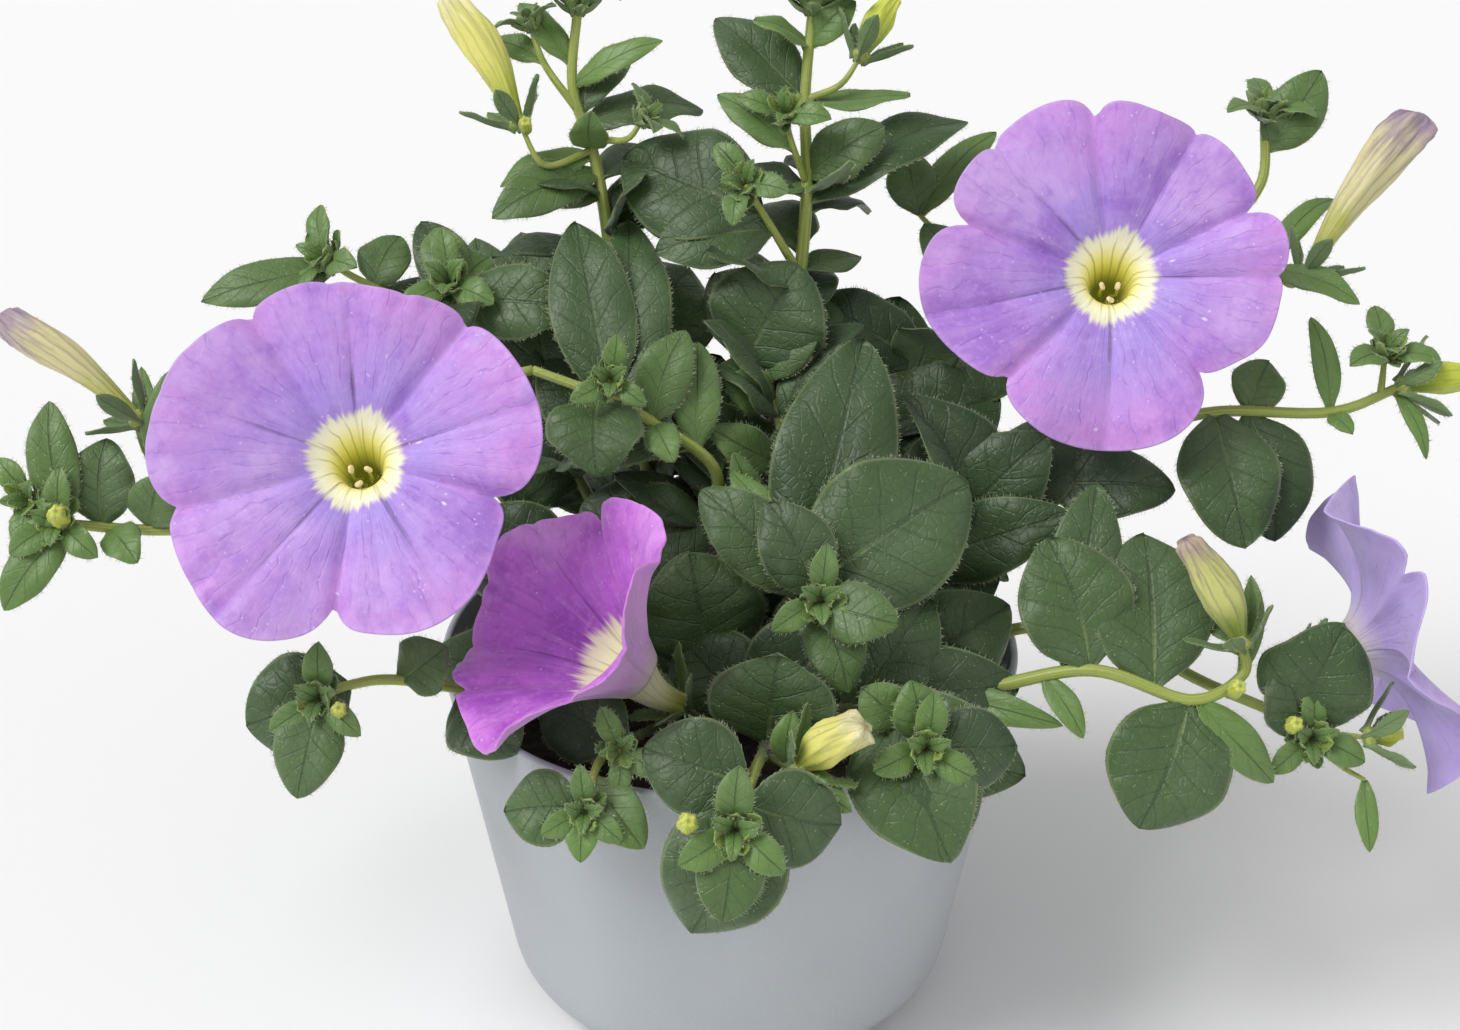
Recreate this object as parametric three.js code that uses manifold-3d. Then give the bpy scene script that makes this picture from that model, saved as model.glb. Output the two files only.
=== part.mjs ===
// Petunia in a light grey plastic pot: soil, leafy shoots that spread from the middle of the pot,
// four open blooms, closed blooms that are fading, and buds.
// Millimetres, +Z up. The origin is the middle of the pot's base and the front is towards -Y.

import * as THREE from 'three';
import { mergeVertices } from 'three/addons/utils/BufferGeometryUtils.js';
import Module from 'manifold-3d';

const wasm = await Module();
wasm.setup();

const POT = { rim: 57.5, base: 43.5, height: 77, wall: 1.5, edge: 14, edgeSteps: 2, sides: 30 };
const DRAIN = { holes: 6, radius: 4, circle: 24, sides: 6 };
const SOIL = { below: 9, mound: 3, gap: 0.6, rings: [0.55, 0], sides: 24 };
const HOLE = { depth: 9, collar: 5, clear: 0.7, under: 0.6, sides: 4 };
const BLADE = {
  thick: 0.75,
  peak: 0.9,
  full: 0.75,
  rows: [0, 0.2, 0.45, 0.75, 1],
  fewRows: [0, 0.35, 0.7, 1],
  middling: 15,
  small: 10,
};
const STEM = { sides: 4, taper: 0.6 };
const WAIST = 0.62;
const TUFT = {
  core: 1.1,
  turn: 0.4,
  outer: { size: 1, lean: 1.2, wide: 0.42 },
  inner: { size: 0.62, lean: 0.5, wide: 0 },
};
const CALYX = {
  core: 3.2,
  turn: 0.3,
  sepals: 5,
  lobe: { size: 9.5, lean: 0.62, wide: 0 },
  gap: 0.75,
};
const STALK = { thick: 1, straight: 6 };
const TUBE = {
  throat: 5.4,
  skin: 0.9,
  floor: { at: 0.35, radius: 1 },
  under: { below: 1.5, radius: 6.1 },
  neck: { at: 0.55, radius: 3.4 },
  foot: 2.1,
};
const LIMB = { spreads: [0.55, 1], lobes: 5, turn: 0.6 };
const STAMENS = {
  count: 3,
  above: 0.4,
  reach: 0.96,
  step: 1.4,
  splay: 1.7,
  turn: 0.3,
  stalk: 0.35,
  tip: 0.8,
  tipFrom: 0.9,
  sides: 4,
};
const SPINDLE = { foot: 1.3, pinch: 0.7, sides: 6, steps: 5 };

// Places in the plant are given as seen by someone who looks down at the pot from the front:
// mm across, mm up and mm nearer than the middle of the rim, along the line of sight.
const STANDPOINT = { tilt: THREE.MathUtils.degToRad(27), distance: 520, above: 25 };
const UPWARD = new THREE.Vector3(0, Math.sin(STANDPOINT.tilt), Math.cos(STANDPOINT.tilt));
const TOWARD = new THREE.Vector3(0, -Math.cos(STANDPOINT.tilt), Math.sin(STANDPOINT.tilt));
const UP = new THREE.Vector3(0, 0, 1);
const EYE = new THREE.Vector3(0, 0, POT.height)
  .addScaledVector(UPWARD, STANDPOINT.above)
  .addScaledVector(TOWARD, STANDPOINT.distance);

function seen([across, up, near]) {
  const reach = (STANDPOINT.distance - near) / STANDPOINT.distance;
  return EYE.clone()
    .add(new THREE.Vector3(across * reach, 0, 0))
    .addScaledVector(UPWARD, up * reach)
    .addScaledVector(TOWARD, -STANDPOINT.distance * reach);
}

// A direction as seen: to the right, up, and towards the viewer.
function seenDirection([right, up, near]) {
  return new THREE.Vector3(right, 0, 0)
    .addScaledVector(UPWARD, up)
    .addScaledVector(TOWARD, near)
    .normalize();
}

// A leaf grows at a route point of its stem (2.5 is halfway between the third and the fourth),
// reaches to a tip, is so wide, and faces the sky (0) or the viewer (1). It arches by a share of its
// length and its halves fold up by a share of their width.
const leaf = (at, tip, wide, face = 0.7, arch = 0.08, fold = 0.15) =>
  ({ at, tip, wide, face, arch, fold });

// A tuft of young leaves at the end of a stem.
const tuft = (leaves, size, face = 0.5) => ({ leaves, size, face });

// A stem starts in the soil at [x, y] or on the shoot's first stem at a route point.
const stem = (from, route, thick, leaves = [], end = null) => ({ from, route, thick, leaves, end });

const SHOOTS = {
  shoot_back_centre: [
    stem([3, 11], [[7, -5, -6], [11, 26, -4], [14, 48, 0], [15.4, 66, 0], [15, 83, 0],
      [16.5, 101, 0]], 1.7, [
      leaf(4, [-1.6, 74, 12], 9, 0.05, -0.16, 0.1),
      leaf(4, [23.6, 72, 14], 8, 0.05, -0.14, 0.1),
      leaf(3.8, [47.4, 80, -6], 14, 0.35, 0.1),
      leaf(4.1, [30.6, 78, 6], 12, 0.75),
      leaf(5, [-2.8, 100, -4], 14, 0.6, 0.05),
      leaf(5, [36, 85, 2], 8, 0.2, -0.06),
      leaf(5.6, [5, 99.5, 6], 7, 0.3),
      leaf(5.6, [25, 103, 2], 8, 0.7),
    ], tuft(6, 11, 0.2)),
    stem(4, [[12.5, 74, 5], [11, 80, 6]], 0.8, [
      leaf(0.9, [-2.4, 84.5, 4], 8.5, 0.6),
    ], tuft(4, 9, 0.7)),
    stem(5, [[22, 86, 1], [26, 91.5, 1]], 0.8),
    stem(3, [[8, 58, 6], [3, 66, 10]], 1, [
      leaf(1.3, [-21.6, 72, -2], 25, 0.75, 0.05),
      leaf(0.9, [-15, 53, 8], 14, 0.7),
    ], tuft(5, 9, 0.7)),
  ],
  shoot_back_left: [
    stem([-7, 10], [[-13, -5, -8], [-21, 30, -8], [-25, 60, -4], [-27.5, 73, -3], [-31.5, 86, -2],
      [-30.5, 101, -2]], 1.6, [
      leaf(5, [-14, 95.4, 4], 6.5, 0.6),
      leaf(4.4, [-5.4, 82, -6], 13, 0.3),
      leaf(4, [-28, 80, 8], 8, 0.7),
      leaf(3.9, [-46.2, 66.5, -2], 8, 0.4),
      leaf(3.6, [-47.4, 60, 6], 11, 0.75),
    ], tuft(6, 10, 0.2)),
    stem(4.6, [[-37, 90, -1], [-40, 98, -1]], 0.9, [
      leaf(1.1, [-48, 95, -8], 6),
    ], tuft(6, 7, 0.2)),
    stem(4, [[-37, 70, 3], [-42, 78, 4]], 0.8),
    stem(4.2, [[-21, 75, 4], [-17.5, 79, 5]], 0.8, [], tuft(5, 8, 0.2)),
  ],
  shoot_upper_left: [
    stem([-12, 6], [[-20, -12, -10], [-34, 14, -14], [-47, 32, -10], [-55, 43, -4], [-56, 46, -2]], 1.5, [
      leaf(4, [-30.4, 41.4, 4], 16, 0.8),
      leaf(4.6, [-59, 58, -10], 9.5, 0.7),
      leaf(4.6, [-48, 52, -8], 10, 0.7),
      leaf(2.6, [-51, 56, -18], 17, 0.6),
    ], tuft(6, 11, 0.6)),
    stem(3, [[-62, 41, -8], [-76, 48, -5], [-80, 51, -4]], 1, [
      leaf(2.4, [-106, 43.4, 0], 10.5, 0.6),
      leaf(1.6, [-66, 56, -12], 11, 0.7),
    ], tuft(6, 11, 0.5)),
  ],
  shoot_left_centre: [
    stem([-10, -3], [[-7, -10, 4], [-2.6, 8, 12], [-15.4, 18.5, 15], [-26, 24, 15], [-39.4, 29, 12]], 1.5, [
      leaf(2.4, [-6.4, 35, 10], 9.5, 0.8),
      leaf(3, [-9, 37.2, 14], 11, 0.7),
      leaf(3, [-11.4, 11, 22], 7, 0.8),
      leaf(4, [-26.8, 8.6, 26], 19, 0.9),
      leaf(3.8, [-31, 59.4, 4], 17, 0.8, 0.04),
      leaf(3.6, [-20.4, 59.6, 0], 17, 0.8, 0.04),
    ]),
    stem(4, [[-24, 27, 20]], 0.8, [], tuft(6, 8, 0.9)),
  ],
  shoot_centre: [
    stem([1, 2], [[5, -6, 4], [10, 10, 4], [9, 22, 2], [3, 30, 0]], 1.4, [
      leaf(4, [13.4, 50, 7], 25, 0.85),
      leaf(3.6, [18.5, 42, 4], 12, 0.5),
      leaf(3, [-0.5, 27.5, 8], 9.5, 0.8),
      leaf(2, [-3.4, 17.5, 12], 9.5, 0.8),
    ]),
  ],
  shoot_centre_right: [
    stem([9, -6], [[10, -20, 12], [15, -15, 26], [18, -17, 37]], 1.5, [
      leaf(1.9, [26.8, 36, 14], 24, 0.8, 0.05),
      leaf(2.1, [-5.8, 5.2, 28], 15, 0.85),
      leaf(1.8, [0.2, 9.5, 20], 8, 0.4),
      leaf(2.7, [7.6, 2.6, 35], 14.5, 0.95),
      leaf(2.3, [48, 6.5, 28], 29, 0.95, 0.05),
      leaf(3, [33.6, -21.6, 43], 12, 0.8),
      leaf(2.6, [23.6, -35.4, 39], 12, 0.8),
    ], tuft(6, 10, 0.9)),
  ],
  shoot_front_mid: [
    stem([-4, -12], [[-4, -30, 14], [-2, -38, 24], [-3, -42, 28]], 1.3, [
      leaf(1.2, [-8, -8, 25], 26, 0.9, 0.03),
    ]),
  ],
  shoot_front: [
    stem([4, -17], [[5, -39, 20], [7, -46, 39], [5, -51, 54], [1, -62.5, 62]], 1.5, [
      leaf(2, [9.6, -28, 46], 24, 0.9, 0.05),
      leaf(3.3, [-17.6, -46.6, 54], 18, 0.95),
      leaf(3.4, [-8, -84.2, 53], 23, 0.9),
      leaf(4, [-1.6, -81.6, 63], 12.5, 0.9),
      leaf(3.6, [22.6, -62, 56], 18, 0.9),
    ], tuft(6, 11, 0.9)),
    stem(2.4, [[11, -50, 46], [13.5, -50.5, 51]], 0.9, [
      leaf(1.1, [12.5, -39.5, 50], 6, 0.8),
      leaf(0.9, [24, -59, 55], 7, 0.8),
    ]),
  ],
  shoot_front_left: [
    stem([-8, -15], [[-10, -40, 20], [-20, -45, 38], [-26, -49, 48], [-29, -59, 54]], 1.2, [
      leaf(4, [-45.4, -59.4, 52], 14, 0.85),
      leaf(4, [-30, -69.4, 57], 6, 0.9),
      leaf(3.4, [-17.4, -66.6, 56], 10, 0.9),
      leaf(2.1, [-38, -38, 27], 17, 0.85, 0.04),
    ], tuft(6, 8, 0.9)),
    stem(2.6, [[-22, -47, 50]], 0.8, [], tuft(5, 8, 0.9)),
  ],
  shoot_front_right: [
    stem([13, -14], [[16, -38, 16], [25, -39, 32], [34, -42, 43], [39, -46.5, 48]], 1.4, [
      leaf(1.8, [40.2, -16.4, 26], 18, 0.9),
      leaf(4, [57.6, -46, 47], 15.5, 0.85),
      leaf(3.8, [36.4, -33.4, 51], 10, 0.85),
      leaf(3, [26.4, -34.6, 45], 9.5, 0.9),
      leaf(2.9, [47.6, -63.4, 50], 17, 0.8, 0.12),
      leaf(2.5, [44, -69, 51], 24, 0.8, 0.16),
    ], tuft(6, 10, 0.9)),
  ],
  shoot_left_low: [
    stem([-17, -9], [[-24, -36, 12], [-44, -36, 24], [-66, -33, 32], [-76, -34, 35],
      [-82, -36.5, 38]], 1.4, [
      leaf(4, [-97, -42, 36], 21, 0.85),
      leaf(5, [-86.8, -56.6, 42], 13, 0.9),
      leaf(3, [-57, -26.5, 36], 12, 0.8),
      leaf(2.4, [-43, -47, 38], 17, 0.8, 0.06),
    ], tuft(6, 10, 0.9)),
  ],
  shoot_left: [
    stem([-19, 0], [[-30, -18, 6], [-62, -8, 14], [-92, -3, 20], [-116, -3, 24], [-130, -2, 27],
      [-134, -1.5, 28]], 1.5, [
      leaf(4, [-114, 8, 30], 10.5, 0.85),
      leaf(4.6, [-125, 15.4, 26], 13.5, 0.85),
      leaf(5.5, [-136.5, 23, 26], 10, 0.8),
      leaf(5.6, [-145.6, -19, 30], 9.5, 0.8),
      leaf(4.5, [-119, -9, 33], 8, 0.7),
    ], tuft(6, 10, 0.9)),
    stem(3.9, [[-115, 8, 22], [-118, 19, 25]], 0.9, [
      leaf(1.1, [-118, 30, 18], 5, 0.8),
      leaf(1.2, [-112.6, 28.6, 28], 5, 0.8),
    ]),
    stem(5.4, [[-140, 3, 26]], 0.8, [], tuft(5, 9, 0.8)),
  ],
  shoot_right_front: [
    stem([18, -10], [[26, -35, 12], [48, -35, 24], [72, -31, 32], [92, -37, 35], [102.5, -32, 34],
      [102.5, -26, 35]], 1.6, [
      leaf(3, [63.6, -4.4, 30], 22, 0.95, 0.05),
      leaf(2.8, [73.6, 6.8, 22], 15, 0.85, 0.03),
      leaf(3.6, [83, -3.2, 25], 23, 0.9, 0.05),
      leaf(4, [82, -62.8, 37], 24, 0.9, 0.05),
      leaf(4.1, [109, -53.6, 35], 8.5, 0.8),
      leaf(2.6, [70.8, -44.4, 34], 5.5, 0.7),
      leaf(4.9, [104.4, -11.6, 26], 4.5, 0.8),
    ]),
  ],
  shoot_right_low: [
    stem([20, -3], [[36, -28, 2], [68, -22, 12], [96, -34, 20], [110, -40, 25], [116, -44.5, 29]], 1.5, [
      leaf(5, [110.6, -29.4, 34], 14, 0.9),
      leaf(4.4, [123, -22.6, 37], 22, 0.85, 0.12),
    ], tuft(6, 10, 0.9)),
    stem(4.7, [[122, -50, 28], [127, -53, 29]], 0.7, [
      leaf(2, [128.2, -67.4, 32], 4.5, 0.7),
    ]),
    stem(4.8, [[123, -44, 31], [127.6, -44.6, 31]], 0.7),
  ],
  shoot_right: [
    stem([15, 9], [[30, -14, -2], [58, 3, 2], [82, 16, 6], [97, 20.6, 7], [120, 20.6, 8],
      [134, 25.6, 8]], 1.6, [
      leaf(4, [103.4, -6.2, 17], 20, 0.7),
      leaf(4.3, [109.4, -5.2, 10], 18, 0.6),
      leaf(4.3, [108, 31, 2], 11, 0.7),
      leaf(5, [116.4, 39.8, 6], 5.5, 0.8),
      leaf(5, [124.6, 16.6, 13], 4.5, 0.6),
      leaf(5.9, [139.6, 11.4, 11], 3.8, 0.6),
      leaf(2.2, [88.8, 5.4, 12], 15, 0.8),
      leaf(1.5, [63.4, 15.8, 12], 20, 0.85),
      leaf(1.3, [67, 0.4, 16], 16, 0.8),
      leaf(1.7, [35.4, 24, 10], 18, 0.3, 0.1, 0.8),
    ]),
    stem(5.7, [[131, 32, 9]], 0.8, [], tuft(6, 10, 0.5)),
  ],
  shoot_right_back: [
    stem([10, 15], [[20, -6, -10], [34, 24, -10], [50, 40, -10], [70, 52, -6], [96, 58, -2],
      [106, 66, 0], [107, 80, 0]], 1.6, [
      leaf(2.3, [16.8, 44, -9], 16, 0.7),
      leaf(3, [39, 58.5, -10], 13, 0.7),
      leaf(6.5, [118.4, 89, 2], 11.5, 0.8),
    ], tuft(6, 10, 0.4)),
    stem(3, [[45, 52, -14], [38, 60, -16]], 0.9, [
      leaf(2, [35.6, 73.4, -16], 10.5, 0.8),
      leaf(2, [53, 77, -16], 8, 0.4),
    ]),
    stem(5, [[107, 50.5, 1], [112, 46, 2], [115, 48, 2]], 0.9, [
      leaf(1.1, [121, 64, -8], 5.5, 0.5),
      leaf(1.2, [126, 43, 10], 7, 0.5),
    ]),
  ],
  shoot_rear_left: [
    stem([-9, 17], [[-14, -14, -24], [-25, 6, -44], [-34, 10, -60]], 1.4, [
      leaf(1.6, [-46, 14, -44], 18, 0.1),
      leaf(2, [-18, 18, -60], 18, 0.1),
      leaf(2.7, [-44, -2, -74], 17, -0.4),
      leaf(3, [-28, 6, -82], 15, -0.4),
    ], tuft(6, 10, -0.4)),
  ],
  shoot_rear: [
    stem([1, 20], [[3, -12, -28], [6, 8, -50], [8, 4, -70]], 1.4, [
      leaf(1.6, [-10, 16, -50], 18, 0),
      leaf(1.9, [22, 16, -56], 18, 0),
      leaf(2.6, [-8, -4, -80], 18, -0.5),
      leaf(3, [18, -10, -86], 17, -0.5),
    ], tuft(6, 10, -0.5)),
  ],
  shoot_rear_right: [
    stem([14, 17], [[20, -12, -24], [34, 6, -42], [48, 6, -58]], 1.4, [
      leaf(1.6, [46, 20, -36], 18, 0.1),
      leaf(2, [34, 16, -60], 17, 0),
      leaf(2.6, [66, 4, -56], 17, -0.2),
      leaf(3, [50, -6, -76], 16, -0.5),
    ], tuft(6, 10, -0.4)),
  ],
};

// An open bloom has a throat, an axis that it faces along, a tube of some length, and the radius of
// its rim by angle, in degrees from its right-hand side: lobes with a notch between each two.
// Its stalk leaves a stem of a shoot at a route point.
const BLOOMS = {
  bloom_left: {
    throat: [-75, 11, 50],
    faces: [-0.04, 0.02, 1],
    on: ['shoot_left_centre', 0, 5],
    via: [-62, 24, 12],
    tube: 27,
    cone: 0.16,
    wave: 0.05,
    segments: 32,
    rim: [
      [0, 34.5], [12, 35.4], [32, 34.5], [46, 33], [52, 31], [60, 32.5], [78, 30.5], [92, 29.4],
      [106, 33], [120, 33], [126, 30.5], [136, 34], [150, 36], [158, 36.5], [163, 35.4], [176, 37.6],
      [190, 35], [197, 32], [206, 35], [222, 36.4], [238, 38], [252, 34], [262, 28.5], [268, 26],
      [274, 31], [290, 33.4], [304, 33.6], [318, 32.4], [334, 29], [345, 25.4], [350, 29],
    ],
  },
  bloom_right: {
    throat: [76.6, 47.6, 20],
    faces: [-0.02, -0.04, 1],
    on: ['shoot_right_back', 0, 3.6],
    via: [76, 50, -14],
    tube: 27,
    cone: 0.14,
    wave: 0.05,
    segments: 32,
    rim: [
      [0, 31], [12, 33.6], [20, 33], [27, 28.4], [36, 31.4], [50, 33], [58, 32], [63, 31], [72, 31.4],
      [86, 33], [96, 31], [104, 34.6], [112, 36], [124, 34.6], [134, 34.8], [150, 35.4], [160, 31],
      [168, 36.4], [184, 38], [200, 35.6], [212, 32], [222, 28.6], [230, 31.4], [240, 32.8],
      [254, 33.4], [284, 33.4], [300, 31.4], [311, 25], [318, 25.8], [330, 30.8], [342, 32], [354, 31.4],
    ],
  },
  bloom_folded: {
    throat: [-27.5, -25.5, 44],
    faces: [-0.68, 0.52, 0.5],
    on: ['shoot_front_mid', 0, 3],
    via: null,
    tube: 23,
    cone: 0.45,
    wave: 0.1,
    segments: 24,
    rim: [
      [0, 24], [25, 27], [50, 27], [75, 25], [95, 23], [104, 22], [118, 26], [140, 28], [160, 28],
      [178, 27], [195, 27], [215, 25], [235, 24], [260, 28], [280, 28], [300, 22], [315, 20],
      [330, 20], [345, 22],
    ],
  },
  bloom_side: {
    throat: [131, -24, 18],
    faces: [0.925, 0.375, 0.04],
    on: ['shoot_right_low', 0, 4],
    via: [112, -31, 14],
    tube: 17,
    cone: 0.08,
    wave: 0.16,
    segments: 24,
    rim: [
      [0, 27], [30, 29], [60, 31], [78, 27], [96, 31], [130, 30], [152, 26], [180, 30], [216, 30],
      [228, 26], [260, 31], [286, 31], [300, 27], [330, 29],
    ],
  },
};

// A closed bloom or a bud runs from its calyx to its tip and swells to a radius.
const CLOSED = {
  faded_bloom_left: { on: ['shoot_left', 1], tip: [-146, 40.5, 24], wide: 3.6, fullAt: 0.75 },
  faded_bloom_back_left: { on: ['shoot_back_left', 2], tip: [-56.5, 105, 2], wide: 4, fullAt: 0.6 },
  faded_bloom_right: { on: ['shoot_right_back', 2], tip: [138, 80.5, 2], wide: 4.6, fullAt: 0.8 },
  faded_bloom_front_right: { on: ['shoot_right_front', 0], tip: [91.5, -4.5, 44], wide: 4, fullAt: 0.45 },
  faded_bloom_front: { on: ['shoot_front', 1], tip: [27, -41.5, 58], wide: 4, fullAt: 0.4 },
  closed_bloom_far_right: { on: ['shoot_right', 0], tip: [151, 28.4, 8], wide: 3.2, fullAt: 0.5 },
  bud_back_centre: { on: ['shoot_back_centre', 2], tip: [33, 104, 2], wide: 3, fullAt: 0.5 },
  bud_right_low: { on: ['shoot_right_low', 2], tip: [134.6, -43, 32], wide: 2.6, fullAt: 0.5 },
};

const COLOURS = {
  pot: [0xb4b8ba, 0.55],
  soil: [0x2b2119, 1],
  foliage: [0x5c7a40, 0.75],
  petal: [0xb98cdc, 0.6],
  sidePetal: [0xb7a2e2, 0.6],
  yellow: [0xc9cc5a, 0.65],
  stamens: [0xd9d99a, 0.7],
};

function materialOf(finish) {
  const [color, roughness] = COLOURS[finish];
  return new THREE.MeshStandardMaterial({ color, roughness, metalness: 0 });
}

// The solid of a closed geometry: its shared corners are merged, and triangles with no area dropped.
function solidOf(geometry) {
  const bare = geometry.clone();
  bare.deleteAttribute('normal');
  bare.deleteAttribute('uv');
  const merged = mergeVertices(bare, 1e-4);
  const corners = [];
  for (let index = 0; index < merged.index.count; index += 3) {
    const [a, b, c] = merged.index.array.slice(index, index + 3);
    if (a !== b && b !== c && c !== a) corners.push(a, b, c);
  }
  return new wasm.Manifold(new wasm.Mesh({
    numProp: 3,
    vertProperties: Float32Array.from(merged.attributes.position.array),
    triVerts: Uint32Array.from(corners),
  }));
}

function geometryOf(solid) {
  const mesh = solid.getMesh();
  const geometry = new THREE.BufferGeometry();
  geometry.setAttribute('position', new THREE.BufferAttribute(Float32Array.from(mesh.vertProperties), 3));
  geometry.setIndex(new THREE.BufferAttribute(Uint32Array.from(mesh.triVerts), 1));
  geometry.computeVertexNormals();
  return geometry;
}

function meshOf(name, geometry, finish) {
  const mesh = new THREE.Mesh(geometry, materialOf(finish));
  mesh.name = name;
  return mesh;
}

// A geometry of points and of triangles given by three points each.
function geometryFrom(points, triangles) {
  const geometry = new THREE.BufferGeometry().setFromPoints(points);
  geometry.setIndex(triangles);
  return geometry;
}

// A thin closed sheet: place(s, c) gives its upper face for each s of the rows along it and for
// c from -1 to 1 across, and the lower face has the same triangles, a thickness further down.
function sheet(rows, columns, place, down) {
  const upper = rows.flatMap((s) => Array.from({ length: columns }, (_, column) =>
    place(s, -1 + (2 * column) / (columns - 1))));
  const lower = upper.map((point) => point.clone().add(down));
  const below = upper.length;
  const lastRow = (rows.length - 1) * columns;
  const triangles = [];
  const both = (a, b, c) => triangles.push(a, b, c, below + a, below + c, below + b);
  for (let row = 0; row < lastRow; row += columns) {
    for (let column = 0; column < columns - 1; column += 1) {
      const a = row + column;
      both(a, a + 1, a + 1 + columns);
      both(a, a + 1 + columns, a + columns);
    }
  }
  const around = [];
  for (let column = 0; column < columns - 1; column += 1) around.push(column);
  for (let row = 0; row < lastRow; row += columns) around.push(row + columns - 1);
  for (let column = columns - 1; column > 0; column -= 1) around.push(lastRow + column);
  for (let row = lastRow; row > 0; row -= columns) around.push(row);
  around.forEach((from, index) => {
    const to = around[(index + 1) % around.length];
    triangles.push(to, from, below + from, to, below + from, below + to);
  });
  return geometryFrom([...upper, ...lower], triangles);
}

// Half the width of a leaf along its length: slim at its root, widest past its middle, and round
// towards its blunt point.
function halfWidth(s, wide) {
  return (wide / 2) * Math.sin(Math.PI * s ** BLADE.peak) ** BLADE.full;
}

// A leaf blade from its base to its tip, arched along its length and folded along its midrib.
function blade(base, tip, wide, facing, arch, fold) {
  const along = tip.clone().sub(base);
  const length = along.length();
  const side = along.clone().cross(facing).normalize();
  const normal = side.clone().cross(along).normalize();
  const place = (s, c) => {
    const half = s > 0 && s < 1 ? halfWidth(s, wide) : 0;
    return base.clone()
      .addScaledVector(along, s)
      .addScaledVector(side, c * half)
      .addScaledVector(normal, arch * length * 4 * s * (1 - s) + fold * half * Math.abs(c));
  };
  const down = normal.clone().multiplyScalar(-BLADE.thick);
  const rows = wide < BLADE.middling ? BLADE.fewRows : BLADE.rows;
  return solidOf(sheet(rows, wide < BLADE.small ? 2 : 3, place, down));
}

function facingOf(face) {
  return TOWARD.clone().multiplyScalar(face).addScaledVector(UP, 1 - Math.abs(face)).normalize();
}

// A round rod bent along a curve; radius(t) is its radius from 0 at the start to 1 at the end.
function rod(curve, radius, sides, steps) {
  const bar = new THREE.CylinderGeometry(1, 1, 1, sides, steps);
  const position = bar.attributes.position;
  const frames = curve.computeFrenetFrames(steps, false);
  for (let index = 0; index < position.count; index += 1) {
    const t = 0.5 - position.getY(index);
    const step = Math.round(t * steps);
    const size = radius(t);
    const point = curve.getPoint(t)
      .addScaledVector(frames.normals[step], position.getX(index) * size)
      .addScaledVector(frames.binormals[step], position.getZ(index) * size);
    position.setXYZ(index, point.x, point.y, point.z);
  }
  return solidOf(bar);
}

// A whorl: lobes that grow from the edge of a small flat core and lean out from the axis. A lobe is
// a leaf that is widest at its waist, or a plain point where its width is 0. All are one thin solid.
function whorl(centre, axis, core, turn, lobes) {
  const first = new THREE.Vector3(1, 0.2, 0).cross(axis).normalize();
  const second = axis.clone().cross(first);
  const place = (angle, radius, height, across = 0) => centre.clone()
    .addScaledVector(first, Math.cos(angle) * radius - Math.sin(angle) * across)
    .addScaledVector(second, Math.sin(angle) * radius + Math.cos(angle) * across)
    .addScaledVector(axis, height + BLADE.thick / 2);
  const sector = (2 * Math.PI) / lobes.length;
  const upper = [place(0, 0, 0)];
  const edges = lobes.map(({ size, lean, wide }, index) => {
    const middle = (index + 0.5) * sector + turn;
    const at = (share, across) =>
      place(middle, core + share * size * Math.sin(lean), share * size * Math.cos(lean), across);
    const points = [place(middle - sector / 2, core, 0), at(1, 0)];
    if (wide > 0) points.splice(1, 1, at(WAIST, (-wide * size) / 2), at(1, 0), at(WAIST, (wide * size) / 2));
    upper.push(...points);
    return points.map((_, corner) => upper.length - points.length + corner);
  });
  const below = upper.length;
  const lower = upper.map((point) => point.clone().addScaledVector(axis, -BLADE.thick));
  const triangles = [];
  const both = (a, b, c) => triangles.push(a, b, c, below + a, below + c, below + b);
  edges.forEach((edge, index) => {
    const outline = [...edge, edges[(index + 1) % edges.length][0]];
    const [notch, left] = outline;
    const next = outline[outline.length - 1];
    const right = outline[outline.length - 2];
    both(0, notch, next);
    both(notch, right, next);
    if (left !== right) {
      both(notch, left, right);
      both(left, outline[2], right);
    }
    outline.slice(1).forEach((to, corner) => {
      const from = outline[corner];
      triangles.push(to, from, below + from, to, below + from, below + to);
    });
  });
  return solidOf(geometryFrom([...upper, ...lower], triangles));
}

// A tuft of young leaves at a stem's end: open ones and short upright ones by turns.
function tuftSolid(end, axis, { leaves, size }) {
  const lobes = Array.from({ length: leaves }, (_, index) => {
    const lobe = index % 2 ? TUFT.inner : TUFT.outer;
    return { ...lobe, size: lobe.size * size };
  });
  return whorl(end, axis, TUFT.core, TUFT.turn, lobes);
}

const calyx = (end, axis) => whorl(end, axis, CALYX.core, CALYX.turn, Array(CALYX.sepals).fill(CALYX.lobe));

function routeCurve(points) {
  return new THREE.CatmullRomCurve3(points, false, 'catmullrom', 0.5);
}

// The point of a stem at a route point: 1 is the first point of its route.
function pointAt(curve, at) {
  const place = at + curve.before;
  const index = Math.min(Math.floor(place), curve.points.length - 2);
  return curve.points[index].clone().lerp(curve.points[index + 1], place - index);
}

const soilTop = POT.height - SOIL.below;

// The curves of a shoot's stems; the first rises upright from its hole, the others branch off it.
function stemCurves(stems) {
  const curves = [];
  stems.forEach(({ from, route }) => {
    const start = Array.isArray(from)
      ? [-HOLE.depth, HOLE.collar].map((z) => new THREE.Vector3(from[0], from[1], soilTop + z))
      : [pointAt(curves[0], from)];
    const curve = routeCurve([...start, ...route.map(seen)]);
    curve.before = start.length - 1;
    curves.push(curve);
  });
  return curves;
}

function stemSolid(curve, thick) {
  return rod(curve, (t) => thick * (1 - (1 - STEM.taper) * t), STEM.sides, curve.points.length - 1);
}

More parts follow.
